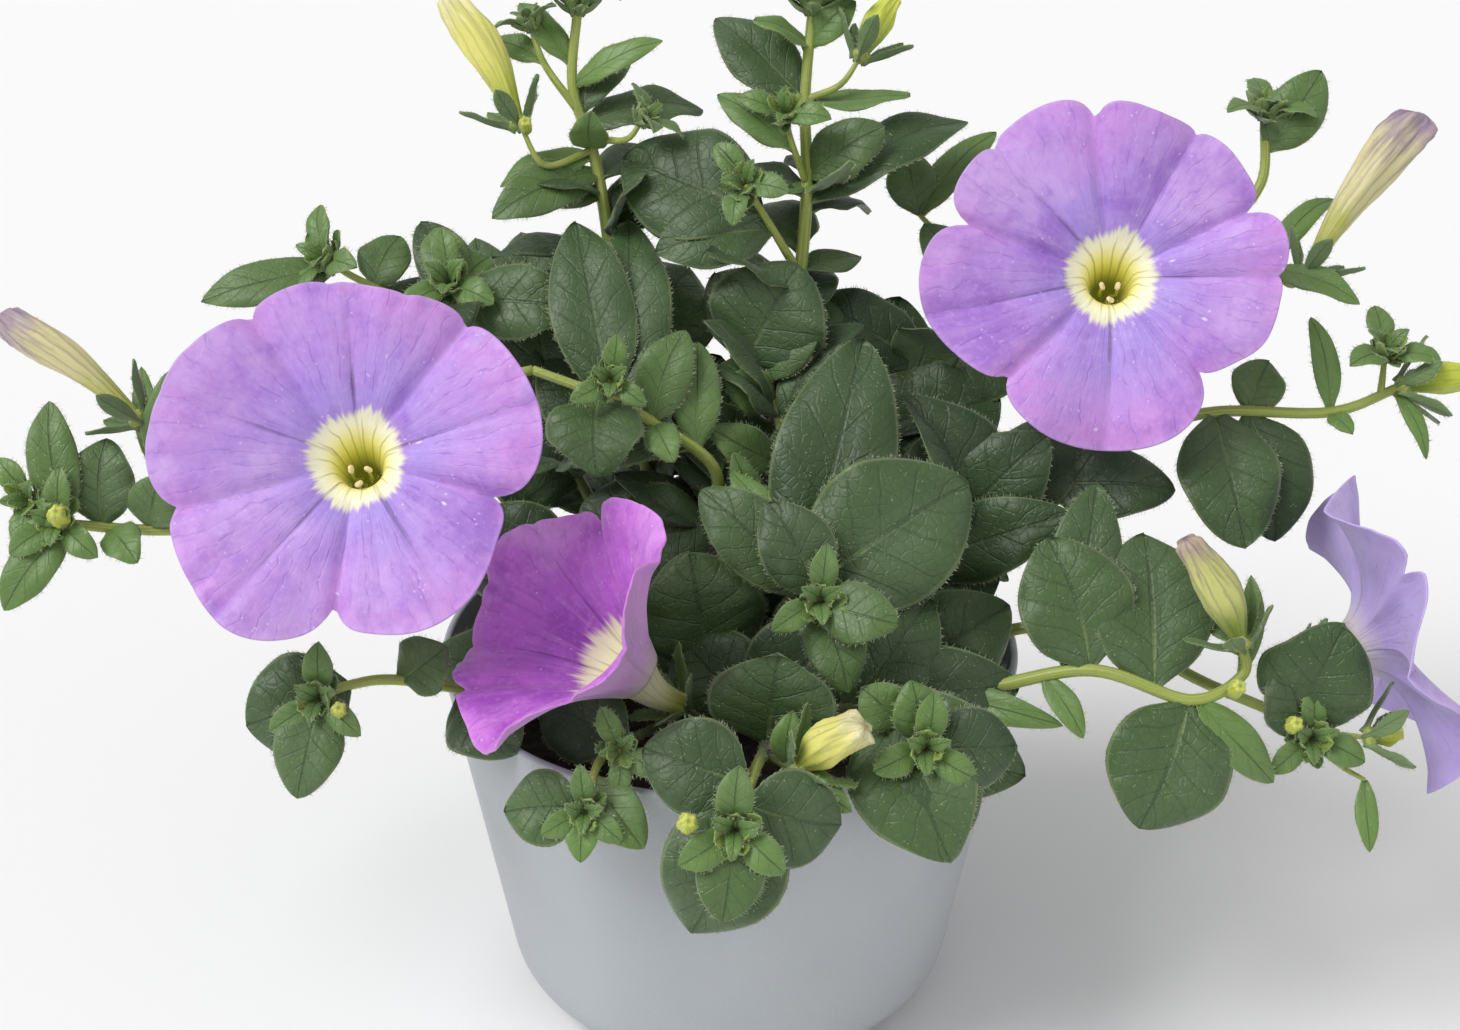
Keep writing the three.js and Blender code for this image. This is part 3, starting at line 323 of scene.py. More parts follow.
# Each open bloom's throat, the way it faces, the stem point that bears it and a point its stalk goes
# by, its tube and the lean of its limb, then the angles, reaches and widths that draw its rim.
BLOOMS = {
    "bloom_left": {
        "petals": "lilac",
        "grid": [240, 44],
        "throat": [-75, 11, 50],
        "faces": [-0.04, 0.02, 1],
        "on": ["shoot_left_centre", 0, 5],
        "via": [-62, 24, 12],
        "tube": 27,
        "cone": 0.16,
        "wave": 0.05,
        "joins": [50, 126, 197, 264, 345],
        "ribs": [91, 161, 230, 305, 377],
        "funnel": [4, 3.5],
        "bend": 3.6,
        "ruffle": 4.2,
        "seed": 3,
        "notches": [
            [50, 31, 3], [71, 32.4, 2], [97, 31.4, 3], [126.5, 31, 3], [195, 33, 4], [263, 26.5, 5],
            [345, 26, 4],
        ],
        "rim": [
            [0, 34.5], [12, 35.4], [32, 34.5], [46, 33], [52, 31], [60, 32.5], [78, 30.5], [92, 29.4],
            [106, 33], [120, 33], [126, 30.5], [136, 34], [150, 36], [158, 36.5], [163, 35.4], [176, 37.6],
            [190, 35], [197, 32], [206, 35], [222, 36.4], [238, 38], [252, 34], [262, 28.5], [268, 26],
            [274, 31], [290, 33.4], [304, 33.6], [318, 32.4], [334, 29], [345, 25.4], [350, 29],
        ],
    },
    "bloom_right": {
        "petals": "lilac",
        "grid": [240, 44],
        "throat": [76.6, 47.6, 20],
        "faces": [-0.02, -0.04, 1],
        "on": ["shoot_right_back", 0, 3.6],
        "via": [76, 50, -14],
        "tube": 27,
        "cone": 0.14,
        "wave": 0.05,
        "joins": [26, 98, 161, 223, 313],
        "ribs": [61, 133, 192, 268, 360],
        "funnel": [4, 3.5],
        "bend": 3.6,
        "ruffle": 4.2,
        "seed": 11,
        "notches": [
            [0, 31, 2], [25.5, 28, 3], [60, 31, 2], [97, 30, 3], [133, 33, 2], [160.5, 29.5, 4],
            [223, 27.5, 4], [312, 24.5, 4],
        ],
        "rim": [
            [0, 31], [12, 33.6], [20, 33], [27, 28.4], [36, 31.4], [50, 33], [58, 32], [63, 31], [72, 31.4],
            [86, 33], [96, 31], [104, 34.6], [112, 36], [124, 34.6], [134, 34.8], [150, 35.4], [160, 31],
            [168, 36.4], [184, 38], [200, 35.6], [212, 32], [222, 28.6], [230, 31.4], [240, 32.8],
            [254, 33.4], [284, 33.4], [300, 31.4], [311, 25], [318, 25.8], [330, 30.8], [342, 32],
            [354, 31.4],
        ],
    },
    "bloom_folded": {
        "petals": "magenta",
        "grid": [180, 34],
        "throat": [-27.5, -25.5, 44],
        "faces": [-0.68, 0.52, 0.5],
        "on": ["shoot_front_mid", 0, 3],
        "via": None,
        "tube": 23,
        "cone": 0.45,
        "wave": 0.1,
        "joins": [30, 104, 168, 225, 310],
        "ribs": [70, 138, 194, 262, 350],
        "funnel": [11, 7],
        "bend": 1.0,
        "ruffle": 4.2,
        "seed": 23,
        "notches": [[30, 26, 3], [104, 21, 3], [166, 27, 3], [225, 23, 4], [310, 19, 4]],
        "rim": [
            [0, 24], [25, 27], [50, 27], [75, 25], [95, 23], [104, 22], [118, 26], [140, 28], [160, 28],
            [178, 27], [195, 27], [215, 25], [235, 24], [260, 28], [280, 28], [300, 22], [315, 20],
            [330, 20], [345, 22],
        ],
    },
    "bloom_side": {
        "petals": "pale",
        "grid": [180, 34],
        "throat": [131, -24, 18],
        "faces": [0.925, 0.375, 0.04],
        "on": ["shoot_right_low", 0, 4],
        "via": [112, -31, 14],
        "tube": 17,
        "cone": 0.08,
        "wave": 0.16,
        "joins": [0, 78, 152, 228, 300],
        "ribs": [40, 115, 190, 264, 330],
        "funnel": [6, 4],
        "bend": 1.0,
        "ruffle": 1.8,
        "seed": 31,
        "notches": [[0, 25, 4], [78, 25, 4], [152, 25, 4], [228, 24, 4], [300, 26, 4]],
        "rim": [
            [0, 27], [30, 29], [60, 31], [78, 27], [96, 31], [130, 30], [152, 26], [180, 30], [216, 30],
            [228, 26], [260, 31], [286, 31], [300, 27], [330, 29],
        ],
    },
}

# Each closed bloom's stem and tip, its half width, how far along it is fullest, and how blunt it ends.
CLOSED = {
    "faded_bloom_left": {
        "on": ["shoot_left", 1], "tip": [-146, 40.5, 24], "wide": 3.6, "full_at": 0.75, "blunt": 0.65,
        "tint": "mauve",
    },
    "faded_bloom_back_left": {
        "on": ["shoot_back_left", 2], "tip": [-56.5, 105, 2], "wide": 4, "full_at": 0.6, "blunt": 0.55,
        "tint": "cream",
    },
    "faded_bloom_right": {
        "on": ["shoot_right_back", 2], "tip": [138, 80.5, 2], "wide": 4.6, "full_at": 0.8, "blunt": 0.8,
        "tint": "mauve",
    },
    "faded_bloom_front_right": {
        "on": ["shoot_right_front", 0], "tip": [91.5, -4.5, 44], "wide": 4, "full_at": 0.45, "blunt": 0.45,
        "tint": "dusky",
    },
    "faded_bloom_front": {
        "on": ["shoot_front", 1], "tip": [27, -41.5, 58], "wide": 4, "full_at": 0.4, "blunt": 0.7,
        "tint": "cream",
    },
    "closed_bloom_far_right": {
        "on": ["shoot_right", 0], "tip": [151, 28.4, 8], "wide": 3.2, "full_at": 0.5, "blunt": 0.3,
        "tint": "fresh",
    },
    "bud_back_centre": {
        "on": ["shoot_back_centre", 2], "tip": [33, 104, 2], "wide": 3, "full_at": 0.5, "blunt": 0.25,
        "tint": "fresh",
    },
    "bud_right_low": {
        "on": ["shoot_right_low", 2], "tip": [134.6, -43, 32], "wide": 2.6, "full_at": 0.5, "blunt": 0.25,
        "tint": "fresh",
    },
}

# Leaves that stand behind the others and close the gaps between them.
BACKING = {
    "shoot_upper_left": [
        leaf(2.2, [-42, 57, -18], 22, 0.7), leaf(1.7, [-48, 18, -10], 24, 0.85),
        leaf(2.9, [-70, 46, -12], 14), leaf(3.6, [-62, 59, -12], 12, 0.6),
    ],
    "shoot_back_left": [
        leaf(2.1, [-8, 50, -14], 26), leaf(1.5, [-36, 36, -14], 24), leaf(1.4, [-2, 32, -6], 22, 0.75),
        leaf(2.9, [-10, 66, -10], 14, 0.6), leaf(4.6, [-20, 92, -6], 8, 0.4),
        leaf(5.3, [-42, 103, -6], 7, 0.3), leaf(3.2, [-44, 66, 2], 9, 0.8),
    ],
    "shoot_back_centre": [
        leaf(1.7, [16, 48, -12], 26), leaf(1.3, [30, 26, -4], 24, 0.8), leaf(1.2, [-8, 22, 0], 22, 0.8),
        leaf(2.2, [-3, 49, -12], 18),
    ],
    "shoot_right_back": [
        leaf(1.4, [34, 44, -16], 26), leaf(1.6, [54, 24, -8], 26, 0.85), leaf(1.2, [12, 28, -10], 22),
        leaf(2.4, [60, 30, -14], 20),
    ],
    "shoot_left_centre": [
        leaf(1.1, [-30, 2, 4], 26, 0.85), leaf(1.5, [-24, -8, 10], 22, 0.9), leaf(2.6, [-34, 19, 4], 16, 0.8),
    ],
    "shoot_centre": [
        leaf(1.5, [28, 18, 2], 22, 0.85), leaf(1.7, [-8, 8, 8], 18, 0.85), leaf(2.6, [26, 30, 0], 18, 0.8),
        leaf(1.2, [1, 12, 15], 7, 0.9),
    ],
    "shoot_right": [
        leaf(1.1, [54, -12, 6], 24, 0.85), leaf(1.4, [50, 20, 2], 24, 0.85), leaf(1.6, [72, 20, 2], 18, 0.8),
        leaf(0.8, [36, -4, 8], 22, 0.85),
    ],
    "shoot_right_front": [leaf(1.2, [56, -18, 16], 22, 0.9), leaf(1.5, [66, -42, 33], 7, 0.9)],
    "shoot_front_right": [leaf(1.4, [58, -34, 28], 20, 0.9), leaf(2.2, [59, -52, 44], 20, 0.85)],
    "shoot_front": [leaf(1.2, [22, -20, 24], 22, 0.9), leaf(1.1, [-10, -24, 18], 20, 0.9)],
    "shoot_left_low": [leaf(1.4, [-60, -28, 20], 18, 0.85), leaf(1.1, [-44, -20, 10], 22, 0.85)],
    "shoot_left": [leaf(1.2, [-52, 0, 6], 22, 0.8)],
}

# Small buds that sit in tufts: the tip of each, and its length and half width.
TUFT_BUDS = [
    [[-135, 1, 35], 8, 2.2], [[-8.4, -61, 68], 6, 1.9], [[-78.4, -38.4, 44], 5, 1.5],
    [[113.4, -41.4, 36], 5, 1.6], [[102, -34, 40], 6, 1.6], [[-41, 79, 8], 4, 1.3],
]


def unit(v):
    """Vectors scaled to length 1."""
    return v / np.linalg.norm(v, axis=-1, keepdims=True)


def smooth(t, low, high):
    """Goes smoothly from 0 at low to 1 at high: x squared times 3 minus 2x."""
    x = np.clip((t - low) / (high - low), 0, 1)
    return x * x * (3 - 2 * x)


def seen(place):
    """The point at [across, up, nearer]: along the line of sight from the eye to that distance."""
    across, up, near = place
    reach = (DISTANCE - near) / DISTANCE
    return EYE + reach * (np.array([across, 0, 0]) + up * UPWARD - DISTANCE * TOWARD)


def seen_way(way):
    """A direction as seen: to the right, up, and towards the viewer."""
    right, up, near = way
    return unit(np.array([right, 0, 0]) + up * UPWARD + near * TOWARD)


def facing_of(face):
    """The way a leaf's upper side looks: from the sky at 0 to the viewer at 1."""
    return unit(face * TOWARD + (1 - abs(face)) * UP)


def beside(way):
    """Two directions at right angles to each of these, and to each other."""
    helper = np.where(np.abs(way[..., 2:]) < 0.8, [0.0, 0.0, 1.0], [1.0, 0.0, 0.0])
    side = unit(np.cross(way, helper))
    return side, np.cross(way, side)


def ripple(angle, along, waves, seed):
    """A gentle wander over a ring: a sum of sines whose turns, phases and drifts are drawn by seed."""
    pick = np.random.default_rng(seed)
    total = 0
    for _ in range(waves):
        turns = pick.integers(2, 11)
        drift, phase, size = pick.uniform(-5, 5), pick.uniform(0, 2 * np.pi), pick.uniform(0.4, 1)
        total = total + size * np.sin(turns * angle + drift * along + phase) / np.sqrt(turns)
    return total / waves


class Route:
    """A smooth curve through points: each stretch is a cubic that leaves a point in the direction
    from the point before it to the point after it."""

    def __init__(self, points, before=0):
        self.points = np.array(points, float)
        self.before = before

    def at(self, t):
        """Points, and directions, at t from 0 at its start to 1 at its end."""
        p = self.points
        knots = np.concatenate([2 * p[:1] - p[1:2], p, 2 * p[-1:] - p[-2:-1]])
        t = np.atleast_1d(t) * (len(p) - 1)
        index = np.clip(t.astype(int), 0, len(p) - 2)
        u = (t - index)[:, None]
        a, b, c, d = (knots[index + step] for step in range(4))
        leave, reach = (c - a) / 2, (d - b) / 2
        place = (2 * u**3 - 3 * u**2 + 1) * b + (u**3 - 2 * u**2 + u) * leave
        place = place + (3 * u**2 - 2 * u**3) * c + (u**3 - u**2) * reach
        way = 6 * (u**2 - u) * (b - c) + (3 * u**2 - 4 * u + 1) * leave + (3 * u**2 - 2 * u) * reach
        return place, unit(way)

    def point(self, at):
        """The point and direction at a route point of a stem: 1 is the first of its route."""
        place, way = self.at((at + self.before) / (len(self.points) - 1))
        return place[0], way[0]

    def length(self):
        """Its length along the straight lines between its points."""
        return np.linalg.norm(np.diff(self.points, axis=0), axis=1).sum()


class Skin:
    """Closed shells and needles that become one mesh, with a UV and three marks for its material."""

    def __init__(self):
        self.points, self.marks, self.count = [], [], 0
        self.faces = {4: [], 3: []}
        self.places = {4: [], 3: []}

    def add(self, points, marks, faces, places):
        """Adds points, and faces given by their corners with a UV at each corner."""
        self.points.append(points)
        self.marks.append(np.broadcast_to(marks, points.shape))
        for corners in faces:
            self.faces[corners].append(faces[corners] + self.count)
            self.places[corners].append(places[corners])
        self.count += len(points)

    def shell(self, rings, uv, marks, ends=None):
        """Rings of points, each joined to the next, closed at both ends by a fan to a point.
        The UV has one more column than the rings, so that it runs on over the join."""
        rows, columns = rings.shape[:2]
        here = np.arange(rows * columns).reshape(rows, columns)
        after = np.roll(here, -1, axis=1)
        fours = np.stack([here[:-1], after[:-1], after[1:], here[1:]], -1).reshape(-1, 4)
        four_uv = np.stack([uv[:-1, :-1], uv[:-1, 1:], uv[1:, 1:], uv[1:, :-1]], 2).reshape(-1, 4, 2)
        first = np.full(columns, rows * columns)
        fans = [np.stack([after[0], here[0], first], -1), np.stack([here[-1], after[-1], first + 1], -1)]
        fan_uv = [np.stack([uv[0, 1:], uv[0, :-1], (uv[0, 1:] + uv[0, :-1]) / 2], 1),
                  np.stack([uv[-1, :-1], uv[-1, 1:], (uv[-1, 1:] + uv[-1, :-1]) / 2], 1)]
        threes, three_uv = np.concatenate(fans), np.concatenate(fan_uv)
        ends = np.array(ends if ends is not None else [rings[0].mean(0), rings[-1].mean(0)])
        marks = np.broadcast_to(marks, rings.shape)
        points = np.concatenate([rings.reshape(-1, 3), ends])
        marks = np.concatenate([marks.reshape(-1, 3), marks[[0, -1], 0]])
        split = np.concatenate([fours[:, :3], fours[:, [0, 2, 3]], threes])
        a, b, c = (points[split[:, corner]] - points[0] for corner in range(3))
        if (a * np.cross(b, c)).sum() < 0:
            fours, four_uv = fours[:, ::-1], four_uv[:, ::-1]
            threes, three_uv = threes[:, ::-1], three_uv[:, ::-1]
        self.add(points, marks, {4: fours, 3: threes}, {4: four_uv, 3: three_uv})

    def needles(self, roots, tips, thick):
        """Slim three-sided spikes from roots to tips, whose third mark, 2, makes them pale."""
        side, other = beside(unit(tips - roots))
        turns = np.radians([0, 120, 240])
        feet = [roots + thick * (np.cos(turn) * side + np.sin(turn) * other) for turn in turns]
        points = np.stack([*feet, tips], 1).reshape(-1, 3)
        corners = np.array([[0, 1, 3], [1, 2, 3], [2, 0, 3], [0, 2, 1]])
        faces = (corners + 4 * np.arange(len(roots))[:, None, None]).reshape(-1, 3)
        self.add(points, np.array([0, 0, 2.0]), {3: faces}, {3: np.zeros((len(faces), 3, 2))})

    def piece(self, name, material, slot, *nodes):
        """The mesh as an object that rides with the plant and stands for these nodes."""
        mesh = bpy.data.meshes.new(name)
        kinds = [k for k in (4, 3) if self.faces[k]]
        faces = [face for k in kinds for face in np.concatenate(self.faces[k]).tolist()]
        mesh.from_pydata((np.concatenate(self.points) * MM).tolist(), [], faces)
        uv = np.concatenate([np.concatenate(self.places[k]).reshape(-1) for k in kinds])
        mesh.uv_layers.new(name="along").data.foreach_set("uv", uv)
        mark = mesh.attributes.new("mark", "FLOAT_VECTOR", "POINT")
        mark.data.foreach_set("vector", np.concatenate(self.marks).reshape(-1))
        mesh.shade_smooth()
        mesh.materials.append(material)
        made = bpy.data.objects.new(name, mesh)
        bpy.context.scene.collection.objects.link(made)
        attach(made, "root")
        if nodes:
            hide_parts(*nodes)
        return made


class Value:
    """A socket of a material whose arithmetic adds Math nodes."""

    def __init__(self, finish, socket):
        self.finish, self.socket = finish, socket

    def maths(self, operation, *others):
        """One Math node on this value and others."""
        inputs = dict(enumerate((self, *others)))
        return self.finish.node("ShaderNodeMath", {"operation": operation}, inputs)

    def __add__(self, other):
        return self.maths("ADD", other)

    def __mul__(self, other):
        return self.maths("MULTIPLY", other)

    def __sub__(self, other):
        return self.maths("SUBTRACT", other)

    def __rsub__(self, other):
        return self.finish.node("ShaderNodeMath", {"operation": "SUBTRACT"}, {0: other, 1: self})

    __radd__ = __add__
    __rmul__ = __mul__

    def step(self, low, high):
        """Goes smoothly from 0 where this is low to 1 where it is high."""
        settings = {"interpolation_type": "SMOOTHSTEP"}
        return self.finish.node("ShaderNodeMapRange", settings, {0: self, 1: low, 2: high})


class Finish:
    """A material put together from expressions on its sockets."""

    def __init__(self, name, roughness, **fixed):
        self.material = bpy.data.materials.new(name)
        self.material.use_nodes = True
        self.tree = self.material.node_tree
        self.shader = self.tree.nodes["Principled BSDF"]
        self.shader.inputs["Roughness"].default_value = roughness
        for socket, value in fixed.items():
            self.shader.inputs[socket.replace("_", " ")].default_value = value

    def feed(self, socket, value):
        """Links or sets one socket."""
        if isinstance(value, Value):
            self.tree.links.new(value.socket, socket)
        else:
            socket.default_value = value

    def node(self, kind, settings, inputs, output=0):
        """One node: its settings first, then its sockets' values or links; gives one output."""
        made = self.tree.nodes.new(kind)
        for name, value in settings.items():
            setattr(made, name, value)
        for name, value in inputs.items():
            self.feed(made.inputs[name], value)
        return Value(self, made.outputs[output])

    def mix(self, share, one, other, blend="MIX"):
        """A colour between two, by share."""
        settings = {"data_type": "RGBA", "blend_type": blend, "clamp_factor": True}
        return self.node("ShaderNodeMix", settings, {0: share, 6: colour(one), 7: colour(other)}, 2)

    def over(self, base, *layers):
        """A colour with layers over it, each a share and its own colour."""
        for share, top in layers:
            base = self.mix(share, base, top)
        return base

    def split(self, vector):
        """The three numbers of a vector."""
        node = self.tree.nodes.new("ShaderNodeSeparateXYZ")
        self.feed(node.inputs[0], vector)
        return [Value(self, node.outputs[i]) for i in range(3)]

    def join(self, *numbers):
        """A vector of three numbers."""
        return self.node("ShaderNodeCombineXYZ", {}, dict(enumerate(numbers)))

    def place(self):
        """Where a point is in the plant's own space."""
        return self.node("ShaderNodeTexCoord", {}, {}, "Object")

    def along(self):
        """The two numbers of the piece's UV map."""
        return self.split(self.node("ShaderNodeUVMap", {"uv_map": "along"}, {}))[:2]

    def marks(self):
        """The three marks kept at each point."""
        settings = {"attribute_name": "mark"}
        return self.split(self.node("ShaderNodeAttribute", settings, {}, "Vector"))

    def noise(self, vector, scale, detail=2.0, rough=0.5):
        """Soft noise from 0 to 1."""
        inputs = {"Vector": vector, "Scale": scale, "Detail": detail, "Roughness": rough}
        return self.node("ShaderNodeTexNoise", {}, inputs, "Fac")

    def cells(self, vector, scale, feature="DISTANCE_TO_EDGE"):
        """How far a point is from the edges, or the middle, of irregular cells."""
        settings = {"feature": feature}
        return self.node("ShaderNodeTexVoronoi", settings, {"Vector": vector, "Scale": scale}, "Distance")

    def done(self, base, rough=None, height=None, depth=0.0002, painted_glow=None):
        """Feeds the shader: its colour, and where given its roughness, a bump so deep and a painted glow."""
        self.feed(self.shader.inputs["Base Color"], base)
        if rough is not None:
            self.feed(self.shader.inputs["Roughness"], rough)
        if painted_glow is not None:
            self.feed(self.shader.inputs["Emission Color"], painted_glow)
        if height is not None:
            bump = self.node("ShaderNodeBump", {}, {"Height": height, "Distance": depth, "Strength": 1.0})
            self.feed(self.shader.inputs["Normal"], bump)
        return self.material


def colour(value):
    """A colour written as red, green and blue from 0 to 255, as a screen shows it, in linear light."""
    if isinstance(value, Value):
        return value
    share = np.array(value) / 255
    linear = np.where(share <= 0.04045, share / 12.92, ((share + 0.055) / 1.055) ** 2.4)
    return (*map(float, linear), 1.0)


def sweep(skin, places, ways, radii, sides, marks=(0, 0, 0), centre=0):
    """A round bar along a path. Its radius is given along the path, or along it and around it; its
    UV runs once around and from 0 to 1 along, and its rings may be moved aside by centre."""
    side, other = across_path(ways)
    angle = np.linspace(0, 2 * np.pi, sides, endpoint=False)[None, :, None]
    radii = np.reshape(radii, (len(places), -1, 1))
    out = np.cos(angle) * side[:, None] + np.sin(angle) * other[:, None]
    rings = (places + centre)[:, None] + radii * out
    u, v = np.meshgrid(np.linspace(0, 1, sides + 1), np.linspace(0, 1, len(places)))
    skin.shell(rings, np.stack([u, v], -1), marks)


def across_path(ways):
    """Two directions at right angles to each way of a path, which don't turn about it: the first
    keeps near the direction that lies most across the whole path."""
    helper = np.linalg.svd(ways)[2][-1]
    side = unit(helper - (ways @ helper)[:, None] * ways)
    return side, np.cross(ways, side)


def add_leaf(skin, base, tip, wide, look, arch=0.08, fold=0.15, youth=0.0, dark=0.0, hairs=1.0,
             peak=BLADE["peak"]):
    """A leaf as a thin closed skin. c runs across it from -1 to 1, and s along it from 0 to 1.

    Its half width is wide / 2 times sin(pi s^peak)^0.66, drawn in near the stem. Its upper side
    rises by arch times 4s(1 - s), by the fold times c, and by pillows between side veins that
    curve to the tip. It waves and curls down more towards the margin, and sinks along the midrib
    and at the tip.
    """
    rows, columns = next(BLADE_GRIDS[limit] for limit in BLADE_GRIDS if wide > limit)
    if not hairs:
        rows, columns = HIDDEN_GRID
    span = tip - base
    length = np.linalg.norm(span)
    along = span / length
    side = unit(np.cross(along, look))
    normal = np.cross(side, along)
    t = np.linspace(0, 1, rows)[:, None]
    s = t / 2 + (1 - np.cos(np.pi * t)) / 4
    upper = np.sin(np.linspace(-np.pi / 2, np.pi / 2, columns))
    c = np.concatenate([upper, upper[-2:0:-1]])[None]
    under = (np.arange(c.size) >= columns).astype(float)[None]
    half = wide / 2 * np.sin(np.pi * s**peak) ** BLADE["full"]
    half = half * (1 - 0.45 * np.exp(-((s / 0.1) ** 2))) + 0.5 * np.exp(-((s / 0.08) ** 2))
    flat = np.abs(c)
    tint = draw.uniform(0, 1)
    phase = (s - 0.30 * flat + 0.08 * flat**2) * BLADE["veins"] + 0.5 * (c > 0) + tint
    pillow = np.abs(np.sin(np.pi * phase)) ** 0.7 * np.sin(np.pi * np.clip(flat * 0.94, 0, 1)) ** 0.6
    shift, turns, lean = draw.uniform(0, 6.3, 2), draw.uniform(1.2, 2.4, 2), draw.uniform(-0.05, 0.05)
    wave = np.where(c > 0, np.sin(6.3 * turns[0] * s + shift[0]), np.sin(6.3 * turns[1] * s + shift[1]))
    rise = arch * length * 4 * s * (1 - s) + fold * half * np.sqrt(c**2 + 0.02)
    rise = rise + 0.028 * wide * pillow * np.sin(np.pi * s) ** 0.5 + 0.05 * wide * wave * flat**3
    rise = rise - 0.2 * half * flat**4
    rise = rise - (0.12 + 0.012 * wide) * np.exp(-((c * half / 0.5) ** 2)) * (1 - s) ** 0.5
    rise = rise - 0.05 * length * smooth(s, 0.7, 1.0)
    ridge = 0.5 * np.exp(-((c * half / 0.45) ** 2)) * (1 - s)
    thick = BLADE["thick"] * (1 - flat**6) + ridge + 0.7 * np.exp(-((s / 0.09) ** 2))
    rise = rise - under * thick
    place = base + (along * s + side * lean * 4 * s * (1 - s))[:, None] * length
    place = place + side * (c * half)[..., None] + normal * rise[..., None]
    u = np.broadcast_to(s, (rows, c.size + 1))
    v = np.broadcast_to(np.append(c, c[:, :1], 1), u.shape)
    # the second mark is the leaf's tint less twice its dark share: painted shade for leaves deep in the plant
    marks = np.stack(np.broadcast_arrays(youth + 0 * s, tint - 2 * dark, under), -1)
    skin.shell(place, np.stack([u, v], -1), marks)
    count = int(hairs * length / HAIR["apart"])
    for edge, way in (0, -1), (columns - 1, 1):
        at = np.sort(draw.uniform(0.03, 0.98, count))
        roots = np.stack([np.interp(at, s[:, 0], place[:, edge, k]) for k in range(3)], -1)
        spread = draw.normal(0, 1, (count, 3))
        lengthy = draw.uniform(0.4, 1.1, (count, 1))
        out = unit(way * side + 0.5 * along + 0.35 * spread)
        skin.needles(roots, roots + out * lengthy, HAIR["margin"])


def add_fuzz(skin, places, ways, radii, per_mm, low=0.3, size=(0.35, 0.8)):
    """Short hairs that stand off a bar along a path, from the share low of the path onwards."""
    length = np.linalg.norm(np.diff(places, axis=0), axis=1).sum()
    count = int(length * per_mm)
    at = draw.uniform(low, 1, count) * (len(places) - 1)
    pick = np.arange(len(places))
    centre, way = (np.stack([np.interp(at, pick, v[:, k]) for k in range(3)], -1) for v in (places, ways))
    side, other = beside(way)
    turn = draw.uniform(0, 2 * np.pi, (count, 1))
    out = np.cos(turn) * side + np.sin(turn) * other
    roots = centre + out * np.interp(at, pick, radii)[:, None] * 0.95
    tips = roots + unit(out + 0.3 * draw.normal(0, 1, (count, 3))) * draw.uniform(*size, (count, 1))
    skin.needles(roots, tips, HAIR["bar"])


def add_stem(skin, route, thick, fuzz=3.0, low=0.3):
    """A smooth stem that tapers along its route, with hairs on its upper part."""
    length = route.length()
    t = np.linspace(0, 1, max(6, int(length / STEM["step"])))
    places, ways = route.at(t)
    radii = thick * (1 - (1 - STEM["taper"]) * t)
    swell = 1 + 0.06 * ripple(0 * t, t * length / 20, 4, int(length * 10))
    sweep(skin, places, ways, radii * swell, STEM["sides"], (0, 0, 1))
    add_fuzz(skin, places, ways, radii, fuzz, low)


def whorl(axis):
    """The directions across an axis from which the turns of its whorls are counted."""
    first = unit(np.cross([1, 0.2, 0], axis))
    return first, np.cross(axis, first)


def add_tuft(skin, end, axis, count, size):
    """Young leaves around a stem's end, spread in an outer ring and ever more upright inside it."""
    first, second = whorl(axis)
    outer, inner = TUFT["outer"], TUFT["inner"]
    sector = 2 * np.pi / count
    for index in range(count):
        lobe = inner if index % 2 else outer
        turn = (index + 0.5) * sector + TUFT["turn"] + draw.uniform(-0.15, 0.15)
        out = np.cos(turn) * first + np.sin(turn) * second
        reach = lobe["size"] * size
        tip = end + out * (TUFT["core"] + reach * np.sin(lobe["lean"])) + axis * reach * np.cos(lobe["lean"])
        wide = lobe["wide"] * reach * draw.uniform(1.1, 1.35)
        add_leaf(skin, end + out * 0.3, tip, wide, unit(axis - 0.6 * out), 0.12, 0.25, 0.6, 0, 1, 1.25)
    for index in range(count + 6):
        turn = index * 2.4 + draw.uniform(-0.3, 0.3)
        lean, reach = 1.2 - 0.95 * index / (count + 6), size * draw.uniform(0.4, 0.62)
        out = np.cos(turn) * first + np.sin(turn) * second
        tip = end + out * (0.5 + reach * np.sin(lean)) + axis * reach * np.cos(lean)
        look = unit(axis * np.sin(lean) - out * np.cos(lean) + 0.2 * draw.normal(0, 1, 3))
        youth = 0.75 + 0.25 * index / (count + 6)
        add_leaf(skin, end + out * 0.3, tip, reach * 0.52, look, -0.14, 0.35, youth, 0, 1.1, 1.5)


def add_calyx(skin, bars, end, axis):
    """Sepals around a bloom's foot, which lean away from its tube, and the small cup they leave."""
    first, second = whorl(axis)
    for index in range(CALYX["sepals"]):
        turn = (index + 0.5) * 2 * np.pi / CALYX["sepals"] + CALYX["turn"]
        out = np.cos(turn) * first + np.sin(turn) * second
        reach = CALYX["size"] * draw.uniform(0.85, 1.1)
        tip = end + out * (CALYX["core"] + reach * np.sin(CALYX["lean"]))
        tip = tip + axis * reach * np.cos(CALYX["lean"])
        look = unit(axis * 0.5 - out)
        add_leaf(skin, end + out * 0.5, tip, CALYX["wide"], look, -0.07, 0.2, 0.5, hairs=1.3, peak=1.3)
    places = end + np.linspace(-1.2, 1.6, 7)[:, None] * axis
    ways = np.repeat(axis[None], 7, 0)
    sweep(bars, places, ways, np.array([0.7, 1.3, 1.9, 2.2, 2.3, 2.0, 1.4]), 12, (0, 0, 1))


def shoot_routes(stems):
    """The routes of a shoot's stems: the first rises out of the soil, the others branch off it."""
    made = []
    for row in stems:
        ways = [seen(place) for place in row["route"]]
        if isinstance(row["start"], list):
            foot = [[*row["start"], SOIL_TOP + z] for z in (-HOLE["depth"], HOLE["collar"])]
            made.append(Route([*foot, *ways], 1))
        else:
            made.append(Route([made[0].point(row["start"])[0], *ways]))
    return made


